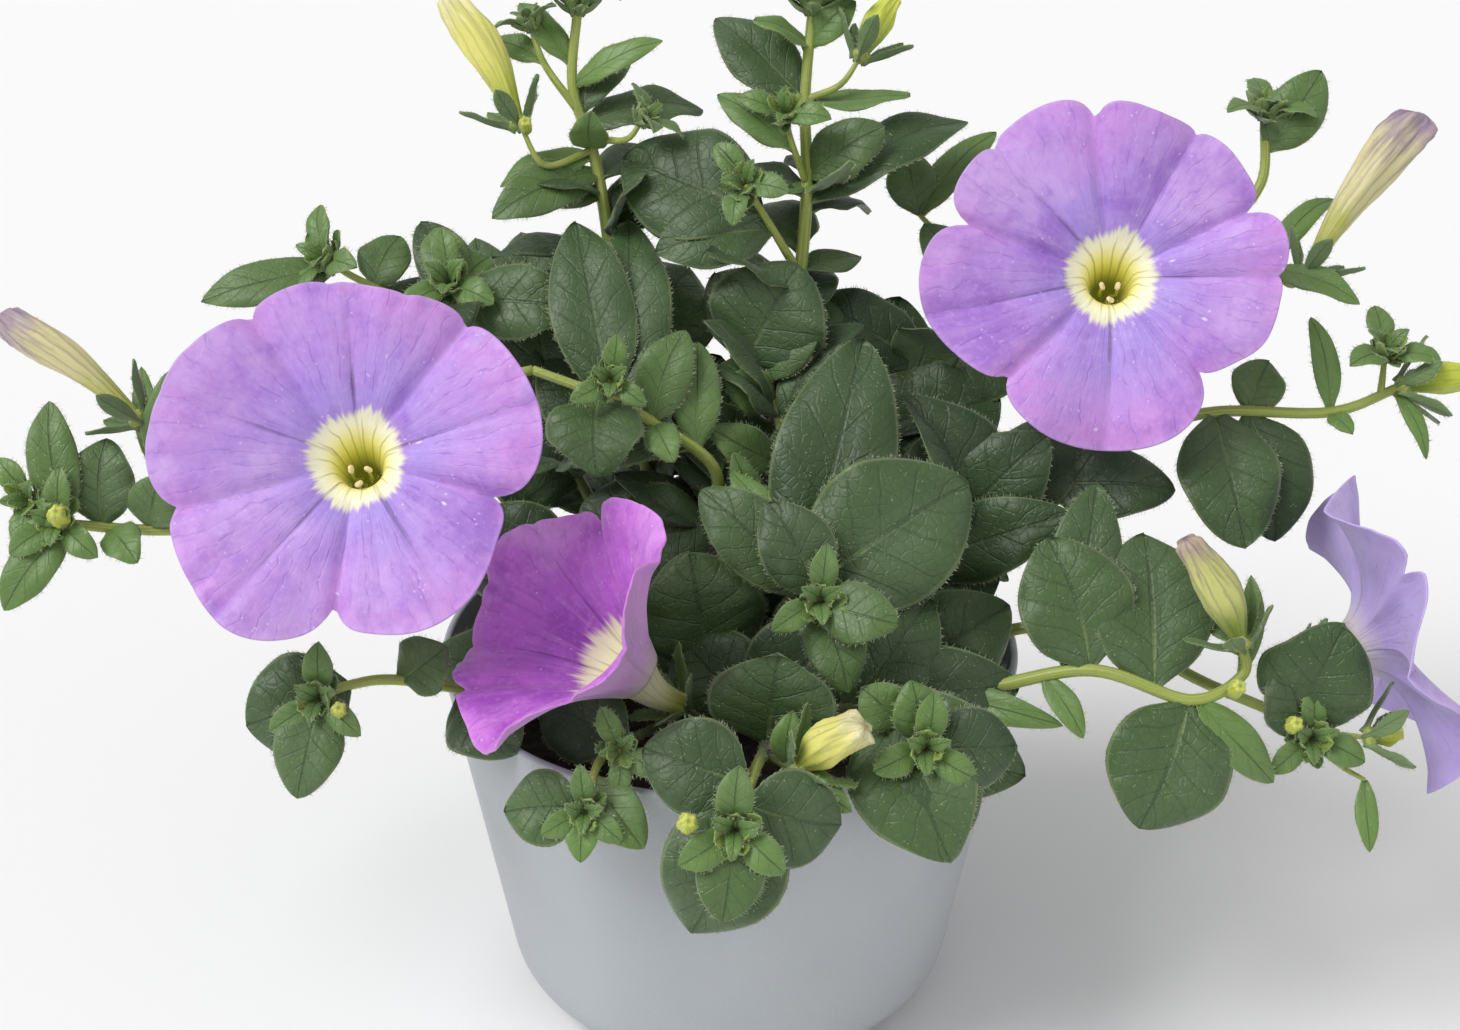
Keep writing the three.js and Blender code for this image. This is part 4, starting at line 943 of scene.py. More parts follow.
def bloom_seat(bloom):
    """The direction in which an open bloom faces, and its calyx's place behind its throat."""
    axis = seen_way(bloom["faces"])
    return axis, seen(bloom["throat"]) - axis * (bloom["tube"] + CALYX["gap"])


def closed_seat(closed):
    """The place, direction and length of a closed bloom on the end of its stem."""
    end = ROUTES[closed["on"][0]][closed["on"][1]].at(1)[0][0]
    span = seen(closed["tip"]) - end
    length = np.linalg.norm(span)
    return end, span / length, length


SOIL_TOP = POT["height"] - SOIL["below"]
ROUTES = {name: shoot_routes(stems) for name, stems in SHOOTS.items()}


def add_infill(skin, route, youth):
    """Hidden leaves that fill the plant's inside along the lower part of a main stem, their colour darkened
    at random as painted shade.
    """
    for at in np.arange(0.16, 0.86, 0.03):
        base, way = (v[0] for v in route.at(at))
        turn = at * 80
        side, other = (v[0] for v in across_path(way[None]))
        out = np.cos(turn) * side + np.sin(turn) * other
        middle = unit(np.array([base[0], base[1], 0]) + [0, 0, 0.01])
        go = unit(out + 0.5 * middle + 0.2 * UP + 0.25 * draw.normal(0, 1, 3))
        tip = base + go * draw.uniform(14, 27)
        radius = np.hypot(tip[0], tip[1])
        if radius > 66 or not POT["height"] + 2 < tip[2] < 165 or seen_near(tip) > 14:
            continue
        # each hidden leaf takes a dark share of up to 0.4: painted shade
        add_leaf(skin, base, tip, draw.uniform(9, 15), unit(UP + 0.5 * TOWARD + 0.3 * middle),
                 draw.uniform(0.02, 0.12), 0.15, youth, draw.uniform(0, 0.4), 0)


def seen_near(place):
    """How much nearer a place is than the middle of the pot's rim."""
    return (place - [0, 0, POT["height"]]) @ TOWARD


def build_shoot(name, stems, leafy, green):
    """One shoot: its leaves and tufts as one piece, its stems, flower stalks and calyces as another."""
    leaves, bars = Skin(), Skin()
    for route, row in zip(ROUTES[name], stems):
        main = isinstance(row["start"], list)
        add_stem(bars, route, row["thick"], 3.0, 0.45 if main else 0.0)
        for one in row["leaves"]:
            base = route.point(one["at"])[0]
            tip = seen(one["tip"])
            small = np.clip(1.3 - one["wide"] / 12, 0, 0.75)
            add_leaf(leaves, base, tip, one["wide"], facing_of(one["face"]), one["arch"], one["fold"], small)
        if row["end"]:
            place, way = (v[0] for v in route.at(1))
            face = row["end"]["face"]
            axis = unit(way * (1 - abs(face)) + TOWARD * face)
            add_tuft(leaves, place, axis, row["end"]["leaves"], row["end"]["size"])
        if main:
            add_infill(leaves, route, 0.1)
            for one in BACKING.get(name, []):
                base, tip = route.point(one["at"])[0], seen(one["tip"])
                young = 0.6 if one["wide"] < 8 else 0.1
                # backing leaves take a dark share of 0.1: a little painted shade
                add_leaf(leaves, base, tip, one["wide"], facing_of(one["face"]), 0.1, 0.15, young, 0.1, 0.7)
    for bloom in BLOOMS.values():
        if bloom["on"][0] == name:
            axis, end = bloom_seat(bloom)
            start = ROUTES[name][bloom["on"][1]].point(bloom["on"][2])[0]
            via = [seen(bloom["via"])] if bloom["via"] else []
            stalk = Route([start, *via, end - axis * STALK["straight"], end])
            add_stem(bars, stalk, STALK["thick"], 4.0, 0.0)
            add_calyx(leaves, bars, end, axis)
    for closed in CLOSED.values():
        if closed["on"][0] == name:
            end, axis, _ = closed_seat(closed)
            add_calyx(leaves, bars, end, axis)
    leaves.piece(name + "_leaves", leafy, "foliage", name)
    bars.piece(name + "_stems", green, "foliage", name)


def rim_reach(bloom, angle):
    """How far a bloom's rim is from its middle, at angles in radians: rounded lobes, with sharp
    notches that fade as exp(-turn / width) to each side."""
    notches = np.array(bloom["notches"], float)
    rim = np.array(bloom["rim"], float)
    gap = np.abs((rim[:, :1] - notches[:, 0] + 180) % 360 - 180).min(1)
    rim = rim[gap > 5]
    degrees = np.degrees(angle)
    wide = np.linspace(-9, 9, 13)
    lobed = np.mean([np.interp(degrees + step, *rim.T, period=360) for step in wide], 0)
    for turn, reach, width in notches:
        depth = np.interp(turn, degrees, lobed, period=360) - reach
        off = np.abs((degrees - turn + 180) % 360 - 180)
        lobed = lobed - max(depth, 0.6) * np.exp(-off / width)
    return lobed


def petal_share(bloom, angle):
    """How far an angle is from the middle rib of its petal: 0 there, and 1 where petals join."""
    joins, ribs = bloom["joins"], bloom["ribs"]
    knots = [turn for pair in zip(joins, ribs) for turn in pair] + [joins[0] + 360]
    place = np.interp((np.degrees(angle) - joins[0]) % 360, np.array(knots) - joins[0], np.arange(11) / 2)
    return np.abs(place % 1 - 0.5) * 2


def build_bloom(name, bloom, material):
    """An open bloom as one closed skin: from the floor of its tube up to the throat, over the limb
    to the rim, and back down the outside to its foot.

    The tube's radius grows by x + x^5 of its height. The limb rises from a funnel that fades as
    exp(-distance / fade), leans forward by the cone, and is ruffled by seeded waves that grow
    towards the rim; it sinks along its five ribs and along the five joins between its petals.
    """
    axis, end = bloom_seat(bloom)
    base = end + axis * CALYX["gap"]
    right = unit(np.cross(UPWARD, axis))
    up = np.cross(axis, right)
    columns, steps = bloom["grid"]
    tube, seed, (deep, fade) = bloom["tube"], bloom["seed"], bloom["funnel"]
    flare = TUBE["throat"] - TUBE["foot"] - TUBE["even"]
    angle = np.linspace(0, 2 * np.pi, columns, endpoint=False)[None]
    reach = rim_reach(bloom, angle[0])[None]
    share = petal_share(bloom, angle)
    x = np.linspace(0.5, 1, 16)[:-1, None]
    back_x = np.linspace(1, 0, 22)[:, None]
    w = smooth(np.linspace(0, 1, steps), -0.35, 1.12)[:, None]
    w = (w - w[0]) / (w[-1] - w[0])

    def tube_rows(x, skin):
        """Height, radius and sideways bend of the tube at x of its height."""
        radius = TUBE["foot"] + TUBE["even"] * x + flare * x**5 - skin
        lines = 1 + 0.02 * np.cos(10 * angle) * (1 - x)
        return x * (tube - deep) + 0 * angle, radius * lines, bloom["bend"] * np.sin(np.pi * x) + 0 * angle

    def limb_rows(w):
        """Height and radius of the limb at w from throat to rim."""
        span = reach - TUBE["throat"]
        out = w * span
        radius = TUBE["throat"] + out
        swing = bloom["wave"] * w * np.sin(LIMB["lobes"] * angle + LIMB["turn"])
        height = tube + w * reach * (bloom["cone"] + swing)
        height = height - deep * np.exp(-out / fade)
        rib, join = share * LIMB["half"] * radius, (1 - share) * LIMB["half"] * radius
        grown = smooth(w, 0, 0.35)
        height = height - grown * (0.35 * np.exp(-((rib / 0.7) ** 2)) + 1.1 * np.exp(-((join / 1.5) ** 2)))
        height = height + grown * 1.1 * np.sin(np.pi * share) * (0.4 + 0.6 * w)
        height = height + bloom["ruffle"] * w**1.5 * ripple(angle, w, 9, seed)
        height = height + 0.35 * bloom["ruffle"] * w**2 * ripple(3 * angle, 2 * w, 7, seed + 1)
        crease = np.abs(ripple(angle, 0.4 * w, 6, seed + 2)) * 4 - 0.8
        height = height + 0.3 * bloom["ruffle"] * w * crease
        frill = np.sin(34 * angle + 3 * np.sin(5 * angle)) * smooth(w, 0.8, 1)
        height = height + 0.12 * frill - 0.9 * smooth(w, 0.8, 1.05)
        return height, radius

    inner = tube_rows(x, TUBE["skin"])
    front = limb_rows(w)
    edge = limb_rows(np.array([[1.0]]))
    outer = tube_rows(back_x, 0)
    none = np.zeros((steps, columns))
    behind = front[0][::-1] - LIMB["skin"]
    height = np.concatenate([inner[0], front[0], edge[0] - 0.2, behind, outer[0][1:]])
    radius = np.concatenate([inner[1], front[1], edge[1] + 0.12, front[1][::-1], outer[1][1:]])
    bend = np.concatenate([inner[2], none, none[:1], none, outer[2][1:]])
    rings = base + height[..., None] * axis + (radius * np.cos(angle))[..., None] * right
    rings = rings + (radius * np.sin(angle) - bend)[..., None] * up
    v = np.concatenate([x[:, 0] - 1, w[:, 0], [1], w[::-1, 0], back_x[1:, 0] - 1])
    back = np.concatenate([0 * x[:, 0], 0 * w[:, 0], [0.5], 1 + 0 * w[:, 0], 1 + 0 * back_x[1:, 0]])
    u = np.linspace(0, 1, columns + 1)
    uv = np.stack(np.broadcast_arrays(u[None], v[:, None]), -1)
    marks = np.stack(np.broadcast_arrays(share, radius / LIMB["widest"], back[:, None]), -1)
    skin = Skin()
    skin.shell(rings, uv, marks)
    centre = rings.mean(1)[-22:][::-1]
    ways = unit(np.gradient(centre, axis=0))
    add_fuzz(skin, centre, ways, radius.mean(1)[-22:][::-1], 22, 0.0, (0.4, 0.9))
    return skin.piece(name + "_skin", material, "petal", name)


def build_stamens(name, bloom, material):
    """Three stamens that rise from the floor of a bloom's tube: a thin bent filament each, and an
    anther that swells and draws in as the root of a half wave, with two lobes around it."""
    skin = Skin()
    axis, end = bloom_seat(bloom)
    right = unit(np.cross(UPWARD, axis))
    up = np.cross(axis, right)
    tube = bloom["tube"]
    foot = end + axis * (CALYX["gap"] + tube * 0.52) - up * bloom["bend"] * 0.9
    for index in range(3):
        turn = 2 * np.pi * index / 3 + np.pi / 6
        out = right * np.cos(turn) + up * np.sin(turn)
        tip = end + axis * (tube * 0.84 + index * 0.5) + out * 1.7 - up * 2.4
        middle = (foot + tip) / 2 - up * bloom["bend"] * 0.35
        route = Route([foot + out * 0.5, middle + out, tip])
        t = np.linspace(0, 1, 14)
        places, ways = route.at(t)
        sweep(skin, places, ways, np.full(14, 0.3), 8)
        t = np.linspace(0, 1, 15)[1:-1]
        around = np.linspace(0, 2 * np.pi, 16, endpoint=False)[None]
        lobes = np.sin(np.pi * t[:, None]) ** 0.5 * (0.66 + 0.2 * np.cos(2 * around))
        places = tip + (t[:, None] - 0.4) * 1.6 * unit(axis + 0.5 * out)
        sweep(skin, places, np.repeat(unit(axis + 0.5 * out)[None], 13, 0), lobes, 16, (1, 0, 0))
    return skin.piece(name + "_skin", material, "stamen", name)


def add_spindle(skin, start, axis, length, wide, full_at, blunt, twist):
    """A closed bloom: it starts slim, swells to full_at of its length and draws in to a blunt tip.
    Five pleats twist about it, and stand out as folded petal corners where it ends."""
    rows, sides = SPINDLE["rows"], SPINDLE["sides"]
    t = np.linspace(0, 1, rows)
    t = t + 0.25 * t * (1 - t)
    swell = smooth(t, -0.1, full_at)
    pinch = (1 - blunt) * smooth(t, full_at, 1.0)
    radius = SPINDLE["foot"] + (wide - SPINDLE["foot"]) * (swell - pinch)
    radius = radius * np.sqrt(1 - 0.97 * smooth(t, 0.95, 1.0))
    angle = np.linspace(0, 2 * np.pi, sides, endpoint=False)[None]
    rise = t[:, None]
    turn = angle + twist * rise + 0.3 * ripple(angle, 2 * rise, 4, int(length * 11))
    ridge = 1 - 2 * np.abs(np.sin(2.5 * turn))
    fine = np.cos(11 * (angle - 0.5 * twist * rise))
    depth = 0.1 * smooth(rise, 0.1, 0.6) + 0.24 * blunt * smooth(rise, 0.7, 1)
    wander = 0.1 * smooth(rise, 0.3, 1) * ripple(angle, 3 * rise, 6, int(length * 7))
    radii = radius[:, None] * (1 + depth * ridge + 0.03 * fine + wander)
    side, other = (v[0] for v in across_path(axis[None]))
    lean = 0.035 * length * np.sin(np.pi * t * 1.2)[:, None] * side
    crumple = wide * 0.25 * smooth(t, 0.85, 1)[:, None] * other * blunt
    places = start + (t * length)[:, None] * axis
    ways = np.repeat(axis[None], rows, 0)
    sweep(skin, places, ways, radii, sides, centre=lean + crumple)
    add_fuzz(skin, places + lean, ways, radius, 14, 0.0, (0.35, 0.8))


def leaf_finish():
    """Green leaf: darker and greyer when mature, yellower when young, with curved side veins, a
    pale midrib near the stem, tiny pale specks, and a paler underside. Leaves given a dark share
    get painted shade, near black for the darkest. Hairs are pale."""
    finish = Finish("leaf_green", 0.45, Sheen_Weight=0.16, Sheen_Roughness=0.4)
    s, c = finish.along()
    youth, tint, side = finish.marks()
    place = finish.place()
    flat = c.maths("ABSOLUTE")
    wander = finish.noise(place, 160, 2) - 0.5
    half = c.maths("GREATER_THAN", 0.0) * 0.5
    phase = (s - flat * 0.30 + flat * flat * 0.08) * BLADE["veins"] + half + wander * 0.3 + tint
    gap = 0.5 - (phase.maths("FRACT") - 0.5).maths("ABSOLUTE")
    inside = 1.0 - flat.step(0.72, 0.95)
    vein = (1.0 - gap.step(0.0, 0.07)) * inside * (1.0 - youth * 0.8)
    fine = (1.0 - finish.cells(place, 520).step(0.02, 0.12)) * (1.0 - youth)
    midrib = 1.0 - flat.step(0.015, 0.06)
    blotch = finish.noise(place, 60, 3)
    specks = 1.0 - finish.cells(place, 1150, "F1").step(0.1, 0.2)
    lit = finish.noise(place, 420, 1).step(0.5, 0.62)
    under = side.step(0.4, 0.6) * (1.0 - side.step(1.2, 1.4))
    mature = finish.mix(tint.step(-0.2, 1.1), (42, 66, 32), (74, 100, 52))
    green = finish.over(
        mature,
        (youth.step(0.0, 0.8), (104, 136, 66)),
        (youth.step(0.75, 1.0) * (1.0 - s * 0.5), (160, 184, 78)),
        (blotch.step(0.35, 0.75) * 0.35, (96, 116, 84)),
        (fine * 0.14, (40, 62, 34)),
        (vein * 0.22, (42, 62, 34)),
        (midrib * s.step(0.25, 0.6) * 0.5, (46, 64, 36)),
        (midrib * (1.0 - s.step(0.1, 0.6)) * 0.4, (132, 150, 92)),
        (flat.step(0.92, 1.0) * (youth * 0.3 + 0.4), (160, 176, 122)),
        (specks * lit * 0.4, (196, 204, 166)),
        (under * 0.45, (122, 142, 104)),
        (side.step(1.4, 1.6), HAIR["leaf"]),
        # painted shade: leaves whose dark share takes their tint mark below 0 turn near black
        ((0.0 - tint).step(0.0, 0.6) * 0.7, (14, 24, 12)),
    )
    height = finish.noise(place, 1500, 2) * 0.25 - vein * 0.7 - fine * 0.35 - midrib * 0.8
    return finish.done(green, 0.36 + blotch * 0.22, height, 0.00016)


def stem_finish():
    """Yellow-green stems with painted shade low inside the plant, and faint streaks along them."""
    finish = Finish("stem_green", 0.5, Sheen_Weight=0.15)
    u, v = finish.along()
    _, _, side = finish.marks()
    place = finish.place()
    streak = finish.noise(finish.join(u * 14.0, v * 3.0, 0.0), 1.5, 3)
    x, y, z = finish.split(place)
    # painted shade: stems low down and near the plant's middle are darkened
    shade = (1.0 - z.step(0.08, 0.125)) * (1.0 - (x * x + y * y).step(0.0022, 0.0036))
    green = finish.over(
        (128, 146, 58),
        (streak.step(0.3, 0.7), (168, 178, 88)),
        (shade * 0.85, (44, 56, 26)),
        (finish.noise(place, 300, 2).step(0.5, 0.8) * 0.4, (156, 150, 92)),
        (side.step(1.4, 1.6), HAIR["stem"]),
    )
    return finish.done(green, None, finish.noise(place, 900, 2), 0.00012)


def petal_finish(name, palette):
    """Petal skin: a blue-lilac heart, a warmer body and a pinker rim, mottled with violet; a jagged
    cream star with a yellow-green throat that glows as painted light; dark lines along the ribs and
    into the throat, faint veins that fan out, and short white streaks. The back is paler."""
    # the emission strength makes the throat glow: painted light
    finish = Finish(name, 0.5, Sheen_Weight=0.15, Sheen_Roughness=0.4, Emission_Strength=0.3)
    u, v = finish.along()
    share, reach, back = finish.marks()
    radius = reach * LIMB["widest"]
    place = finish.place()
    patch = finish.noise(place, 70, 4, 0.6)
    mottle = finish.noise(place, 260, 5, 0.65)
    ray = finish.noise(finish.join(u * 64.0, v * 2.0, 0.0), 1.0, 4, 0.6)
    wander = finish.noise(place, 170, 3) - 0.5
    rib = share * radius * LIMB["half"]
    line = (1.0 - (rib + wander * 0.7).step(0.05, 0.42)) * (1.0 - v.step(0.25, 0.85)) * 0.62
    fan = ((u * 50.0 + wander * 1.6).maths("FRACT") - 0.5).maths("ABSOLUTE")
    fans = (1.0 - fan.step(0.0, 0.1)) * v.step(0.05, 0.4) * mottle.step(0.35, 0.6)
    net = 1.0 - finish.cells(place, 300).step(0.0, 0.1)
    fleck = finish.cells(finish.join(u * 46.0, v * 5.0, 0.0), 1.0, "F1")
    chosen = finish.noise(finish.join(u * 9.0, v * 4.0, 3.0), 1.6, 1).step(0.54, 0.58)
    dots = (1.0 - finish.cells(place, 640, "F1").step(0.08, 0.2)) * mottle.step(0.5, 0.6)
    base = finish.over(
        palette["heart"],
        ((v + (patch - 0.5) * 0.9).step(0.05, 0.65), palette["body"]),
        ((v + (patch - 0.5) * 1.2).step(0.5, 1.15) * 0.85, palette["rim"]),
        (finish.noise(place, 62, 5, 0.6).step(0.48, 0.66) * 0.7, palette["dark"]),
        (finish.noise(place, 50, 4, 0.55).step(0.5, 0.68) * 0.7, palette["light"]),
        (mottle.step(0.45, 0.7) * 0.34, palette["dark"]),
        (finish.noise(place, 900, 3).step(0.5, 0.75) * 0.3, palette["light"]),
        (ray.step(0.42, 0.75) * 0.3, palette["light"]),
        (v.step(0.95, 1.0) * 0.3, palette["light"]),
        (fans * 0.2 + net * v.step(0.3, 0.9) * 0.1, palette["dark"]),
        (line, palette["vein"]),
        ((1.0 - fleck.step(0.05, 0.16)) * chosen * 0.75, (236, 226, 244)),
        (dots * 0.5, (232, 220, 244)),
    )
    jag = (finish.noise(finish.join(u * 8.0, 0.0, 0.0), 1.0, 1) - 0.5) * 5.0
    jag = jag + (finish.noise(finish.join(u * 60.0, 1.0, 0.0), 1.0, 2) - 0.5) * 5.0
    inside = 1.0 - (radius - jag).step(8.0, 9.6)
    spokes = ((u * 15.0 + wander * 0.4).maths("FRACT") - 0.5).maths("ABSOLUTE") * radius * 0.42
    spoke = (1.0 - spokes.step(0.03, 0.26)) * (1.0 - radius.step(5.5, 9.0))
    throat = finish.mix(radius.step(3.4, 7.6), (206, 198, 76), (238, 234, 204))
    throat = finish.mix(v.step(-0.42, -0.05), (120, 122, 24), throat)
    throat = finish.mix(spoke * 0.5, throat, (116, 118, 50))
    front = finish.over(base, (inside, throat), (line * inside * 0.6, (112, 112, 60)))
    pale_tube = 1.0 - v.step(-0.15, 0.2)
    tube = finish.mix(v.step(-1.0, -0.3), (190, 194, 66), (224, 218, 182))
    stripe = 1.0 - ((u * 15.0).maths("FRACT") - 0.5).maths("ABSOLUTE").step(0.0, 0.14)
    behind = finish.over(
        base,
        (0.55, palette["back"]),
        (pale_tube, tube),
        (stripe * pale_tube * 0.4, (150, 152, 84)),
        (v.step(0.3, 1.0) * 0.35, palette["body"]),
    )
    skin = finish.over(front, (back.step(0.4, 0.6), behind), (back.step(1.4, 1.6), HAIR["tube"]))
    # painted light: the inside of the tube and the middle of the star glow in the throat's colour
    painted_glow = finish.mix((1.0 - back) * (1.0 - radius.step(5.0, 9.0)), (0, 0, 0), throat)
    height = ray * 0.7 + mottle * 0.5 - line * 0.5 - fans * 0.2
    return finish.done(skin, 0.44 + mottle * 0.16, height, 0.0004, painted_glow)


def stamen_finish():
    """Pale anthers with a grain of pollen, on greenish filaments."""
    finish = Finish("stamen_cream", 0.6)
    anther = finish.marks()[0]
    grain = finish.noise(finish.place(), 2600, 2)
    pale = finish.mix(grain.step(0.35, 0.7), (236, 220, 176), (214, 190, 138))
    return finish.done(finish.mix(anther, (176, 178, 84), pale), None, grain, 0.0001)


def closed_finish(name, foot, body, tip, streak):
    """A closed or fading bloom: green at its foot, then pale, then the colour left at its tip, with
    darker streaks along its pleats."""
    finish = Finish(name, 0.5, Sheen_Weight=0.15)
    u, v = finish.along()
    side = finish.marks()[2]
    place = finish.place()
    wander = finish.noise(place, 260, 3)
    lines = finish.noise(finish.join(u * 26.0, v * 2.5, 0.0), 1.0, 3)
    rise = v + (wander - 0.5) * 0.35 + (lines - 0.5) * 0.5
    veins = ((u * 10.0 + (wander - 0.5) * 0.5).maths("FRACT") - 0.5).maths("ABSOLUTE")
    skin = finish.over(
        foot,
        (rise.step(0.05, 0.45), body),
        (rise.step(0.6, 0.95), tip),
        ((1.0 - veins.step(0.02, 0.16)) * 0.35, streak),
        (lines.step(0.52, 0.7) * v.step(0.3, 0.9) * 0.6, streak),
        (v.step(0.975, 1.0) * 0.7, streak),
        (side.step(1.4, 1.6), HAIR["closed"]),
    )
    return finish.done(skin, None, lines * 0.6 + wander * 0.4, 0.0004)


def pot_finish():
    """Light grey matte plastic with a faint grain and soft wear; painted shade makes the inside wall a darker
    grey, with specks of soil inside near the rim.
    """
    finish = Finish("pot_grey", 0.48)
    place = finish.place()
    grain = finish.noise(place, 1800, 2)
    cloud = finish.noise(place, 22, 3)
    inner = finish.marks()[0]
    dirt = 1.0 - finish.cells(place, 520, "F1").step(0.12, 0.3)
    some = finish.noise(place, 90, 2).step(0.45, 0.6)
    grey = finish.over(
        (170, 175, 180),
        (cloud.step(0.3, 0.7), (178, 183, 187)),
        (grain.step(0.4, 0.8) * 0.1, (146, 150, 156)),
        # painted shade: the inner wall and the inner half of the rim are a darker grey
        (inner * 0.35, (120, 122, 122)),
        (inner * dirt * some * 0.9, (44, 34, 26)),
    )
    return finish.done(grey, 0.42 + grain * 0.12, grain, 0.00005)


def soil_finish():
    """Dark peat with brown fibres and a few pale grains."""
    finish = Finish("soil_peat", 0.92)
    place = finish.place()
    crumb = finish.noise(place, 420, 5, 0.7)
    grains = 1.0 - finish.cells(place, 260, "F1").step(0.1, 0.22)
    few = finish.noise(place, 140, 1).step(0.6, 0.66)
    peat = finish.over(
        (24, 18, 13),
        (crumb.step(0.35, 0.7), (66, 50, 36)),
        (grains * few * 0.8, (170, 160, 142)),
    )
    return finish.done(peat, None, crumb, 0.0009)


def pot_profile(inset, top, steps=14):
    """Radii and heights of the pot's wall, inset so far: flat, a rounded edge, the straight side."""
    lean = np.arctan((POT["rim"] - POT["base"]) / POT["height"])
    flat = POT["base"] - POT["edge"] / np.tan((np.pi / 2 + lean) / 2)
    turn = np.linspace(0, np.pi / 2 - lean, steps)
    reach = POT["edge"] - inset
    radii = [*np.linspace(0.4, flat, 7)[:-1], *(flat + reach * np.sin(turn))]
    heights = [*np.full(6, inset), *(POT["edge"] - reach * np.cos(turn))]
    side = np.linspace(heights[-1], top, 12)[1:]
    radii = [*radii, *(POT["base"] + np.tan(lean) * side - inset / np.cos(lean))]
    return np.array(radii, float), np.array([*heights, *side])


def lathe(skin, radii, heights, sides, marks):
    """A closed skin turned about the pot's axis from a profile."""
    angle = np.linspace(0, 2 * np.pi, sides, endpoint=False)[None]
    radii = np.reshape(radii, (len(radii), -1))
    heights = np.broadcast_to(np.reshape(heights, (len(heights), -1)), (len(radii), sides))
    rings = np.stack([radii * np.cos(angle), radii * np.sin(angle), heights], -1)
    u, v = np.meshgrid(np.linspace(0, 1, sides + 1), np.linspace(0, 1, len(radii)))
    skin.shell(rings, np.stack([u, v], -1), marks)


def build_pot():
    """The thin-walled pot with a rounded rim, and the drain holes to cut through its base."""
    skin = Skin()
    sides, lip = 120, POT["wall"] / 2
    outer, low = pot_profile(0, POT["height"] - lip)
    inner, high = pot_profile(POT["wall"], POT["height"] - lip)
    turn = np.linspace(0, np.pi, 9)[1:-1]
    middle = (outer[-1] + inner[-1]) / 2
    radii = np.concatenate([outer, middle + (outer[-1] - middle) * np.cos(turn), inner[::-1]])
    heights = np.concatenate([low, POT["height"] - lip + lip * np.sin(turn), high[::-1]])
    marks = np.zeros((len(radii), sides, 3))
    # the first mark picks the inside, which its finish paints darker as shade and specks with soil
    marks[len(outer) + 4:, :, 0] = 1
    lathe(skin, radii, heights, sides, marks)
    pot = skin.piece("pot_shell", pot_finish(), "pot", "pot")
    holes = Skin()
    for index in range(DRAIN["holes"]):
        turn = 2 * np.pi * index / DRAIN["holes"]
        middle = DRAIN["circle"] * np.array([np.cos(turn), np.sin(turn), 0])
        places = middle + np.array([[0, 0, -3.0], [0, 0, 6.0]])
        sweep(holes, places, np.array([UP, UP]), [DRAIN["radius"]] * 2, 36)
    return pot, holes


def build_soil():
    """The soil: under its crumbly mound it follows the inside of the pot. The mound falls off as
    1 - share^2 of the radius, with lumps that are products of sines, and small random crumbs."""
    skin = Skin()
    rows, sides = 43, 180
    radii, heights = pot_profile(POT["wall"] + SOIL["gap"], SOIL_TOP, 8)
    keep = np.r_[0:len(radii):3]
    radii, heights = radii[keep], heights[keep]
    edge = radii[-1]
    share = np.linspace(1, 0.01, rows + 1)[1:, None]
    angle = np.linspace(0, 2 * np.pi, sides, endpoint=False)[None]
    x, y = edge * share * np.cos(angle), edge * share * np.sin(angle)
    crumbs = draw.normal(0, 0.22, (rows, sides)) * smooth(share, 0, 0.1)
    lumps = np.sin(0.31 * x + 0.2 * y) * np.cos(0.27 * y - 0.1 * x)
    lumps = lumps + 0.5 * np.sin(0.9 * x) * np.sin(0.8 * y + 1)
    top = SOIL_TOP + SOIL["mound"] * (1 - share**2) + 0.5 * lumps * (1 - share**8) + crumbs
    wall = (len(radii), sides)
    radii = np.concatenate([np.broadcast_to(radii[:, None], wall), edge * share + 0 * angle])
    heights = np.concatenate([np.broadcast_to(heights[:, None], wall), top])
    lathe(skin, radii, heights, sides, np.zeros(3))
    return skin.piece("soil_bed", soil_finish(), "soil", "soil")


def cut(piece, cutter_skin):
    """Cuts closed shapes out of a piece for good, and keeps its attributes."""
    cutter = cutter_skin.piece("cutter", piece.data.materials[0], "pot")
    modifier = piece.modifiers.new("cut", "BOOLEAN")
    modifier.operation, modifier.solver, modifier.object = "DIFFERENCE", "EXACT", cutter
    bpy.context.view_layer.update()
    solved = bpy.data.meshes.new_from_object(piece.evaluated_get(bpy.context.evaluated_depsgraph_get()))
    piece.modifiers.clear()
    piece.data = solved
    bpy.data.objects.remove(cutter)
    solved.set_sharp_from_angle(angle=np.radians(50))


def sun_light(name, place, spread, strength):
    """A distant soft light that shines from a place towards the plant."""
    data = bpy.data.lights.new(name, "SUN")
    data.angle, data.energy = spread, strength
    light = bpy.data.objects.new(name, data)
    back = unit(np.array(place, float))
    side = unit(np.cross(UP, back))
    rows = np.array([side, np.cross(back, side), back, np.array(place)]).T
    light.matrix_world = Matrix([*map(list, rows), [0, 0, 0, 1]])
    bpy.context.scene.collection.objects.link(light)


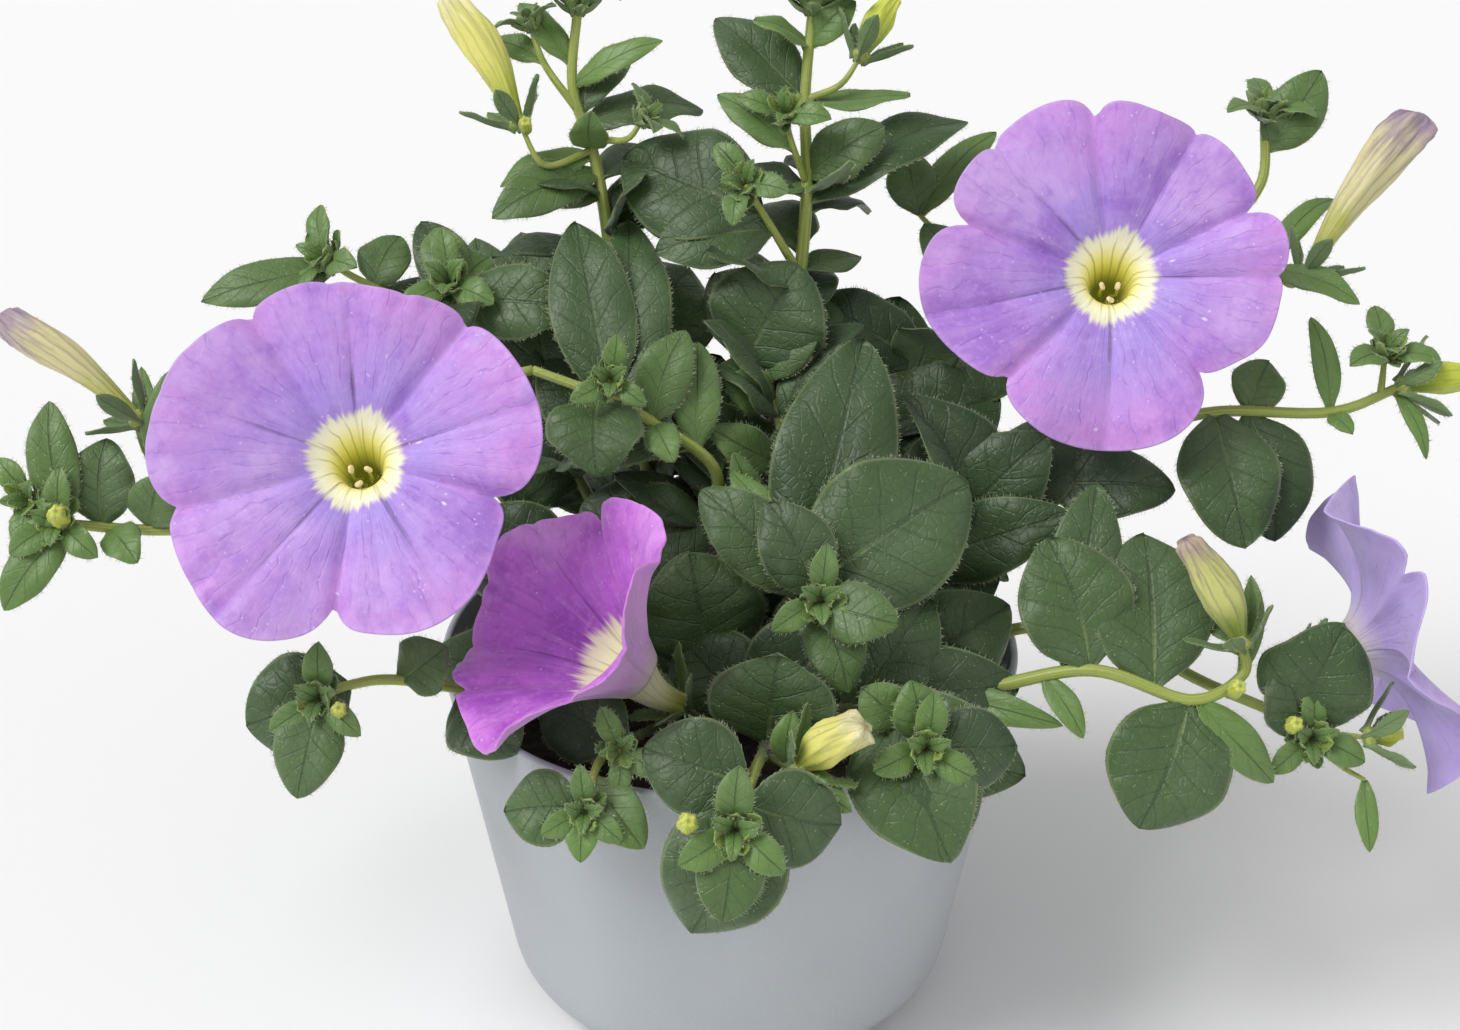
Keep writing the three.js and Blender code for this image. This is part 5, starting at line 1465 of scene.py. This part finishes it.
def set_studio():
    """A pale floor, a white surround, soft lights of which the key comes from above at the left,
    and the photo's camera."""
    scene = bpy.context.scene
    world = bpy.data.worlds.new("surround")
    world.use_nodes = True
    world.node_tree.nodes["Background"].inputs["Color"].default_value = (1, 1, 1, 1)
    world.node_tree.nodes["Background"].inputs["Strength"].default_value = LIGHTS["surround"]
    scene.world = world
    size = 3.0
    mesh = bpy.data.meshes.new("studio_floor")
    corners = [(-size, -size, 0), (size, -size, 0), (size, size, 0), (-size, size, 0)]
    mesh.from_pydata(corners, [], [(0, 1, 2, 3)])
    floor = bpy.data.objects.new("studio_floor", mesh)
    finish = Finish("studio_white", 0.9)
    mesh.materials.append(finish.done((0.9, 0.9, 0.9, 1.0)))
    scene.collection.objects.link(floor)
    for name in "key", "fill":
        sun_light(name, **LIGHTS[name])
    data = bpy.data.cameras.new("photo_camera")
    data.sensor_width = PHOTO["sensor"]
    data.lens = PHOTO["sensor"] * PHOTO["focal"] / PHOTO["width"]
    camera = bpy.data.objects.new("photo_camera", data)
    rows = np.array([[1, 0, 0], UPWARD, TOWARD, EYE * MM]).T
    camera.matrix_world = Matrix([*map(list, rows), [0, 0, 0, 1]])
    scene.collection.objects.link(camera)
    scene.camera = camera
    scene.view_settings.view_transform = "Standard"


PALETTES = {
    "lilac": {
        "heart": (168, 142, 222), "body": (184, 142, 220), "rim": (206, 140, 218),
        "dark": (146, 98, 196), "light": (206, 170, 232), "vein": (92, 74, 116),
        "back": (206, 184, 226),
    },
    "magenta": {
        "heart": (176, 96, 206), "body": (196, 104, 214), "rim": (208, 124, 220),
        "dark": (150, 58, 178), "light": (222, 160, 232), "vein": (120, 60, 140),
        "back": (224, 190, 226),
    },
    "pale": {
        "heart": (178, 160, 226), "body": (182, 160, 226), "rim": (196, 164, 226),
        "dark": (150, 124, 206), "light": (206, 190, 236), "vein": (110, 92, 150),
        "back": (190, 172, 226),
    },
}
# The colours of a closed bloom's foot, body, tip and streaks.
TINTS = {
    "mauve": [(178, 184, 62), (210, 202, 150), (158, 138, 156), (112, 84, 112)],
    "cream": [(190, 200, 60), (222, 218, 120), (228, 220, 172), (156, 150, 70)],
    "dusky": [(150, 170, 62), (200, 202, 118), (176, 158, 140), (104, 74, 96)],
    "fresh": [(140, 166, 52), (194, 206, 66), (206, 214, 96), (140, 152, 50)],
}


def build_closed(name, closed, material):
    """A closed bloom on its calyx."""
    skin = Skin()
    end, axis, length = closed_seat(closed)
    start = end + axis * CALYX["gap"]
    shape = closed["wide"], closed["full_at"], closed["blunt"]
    add_spindle(skin, start, axis, length - CALYX["gap"], *shape, 1.2)
    skin.piece(name + "_skin", material, "closed_bloom", name)


def build_tuft_buds(material):
    """The small buds that sit in tufts, as one piece."""
    skin = Skin()
    axis = unit(TOWARD + 0.5 * UP)
    for tip, length, wide in TUFT_BUDS:
        add_spindle(skin, seen(tip) - axis * length, axis, length, wide, 0.5, 0.2, 0.8)
    skin.piece("tuft_buds", material, "closed_bloom")


leafy, green = leaf_finish(), stem_finish()
for name, stems in SHOOTS.items():
    build_shoot(name, stems, leafy, green)

petals = {shade: petal_finish("petal_" + shade, palette) for shade, palette in PALETTES.items()}
for name, bloom in BLOOMS.items():
    build_bloom(name, bloom, petals[bloom["petals"]])
anthers = stamen_finish()
for side in "left", "right":
    build_stamens("stamens_" + side, BLOOMS["bloom_" + side], anthers)

closed_skins = {tint: closed_finish("closed_" + tint, *shades) for tint, shades in TINTS.items()}
for name, closed in CLOSED.items():
    build_closed(name, closed, closed_skins[closed["tint"]])
build_tuft_buds(closed_skins["fresh"])

pot, holes = build_pot()
cut(pot, holes)
build_soil()
set_studio()
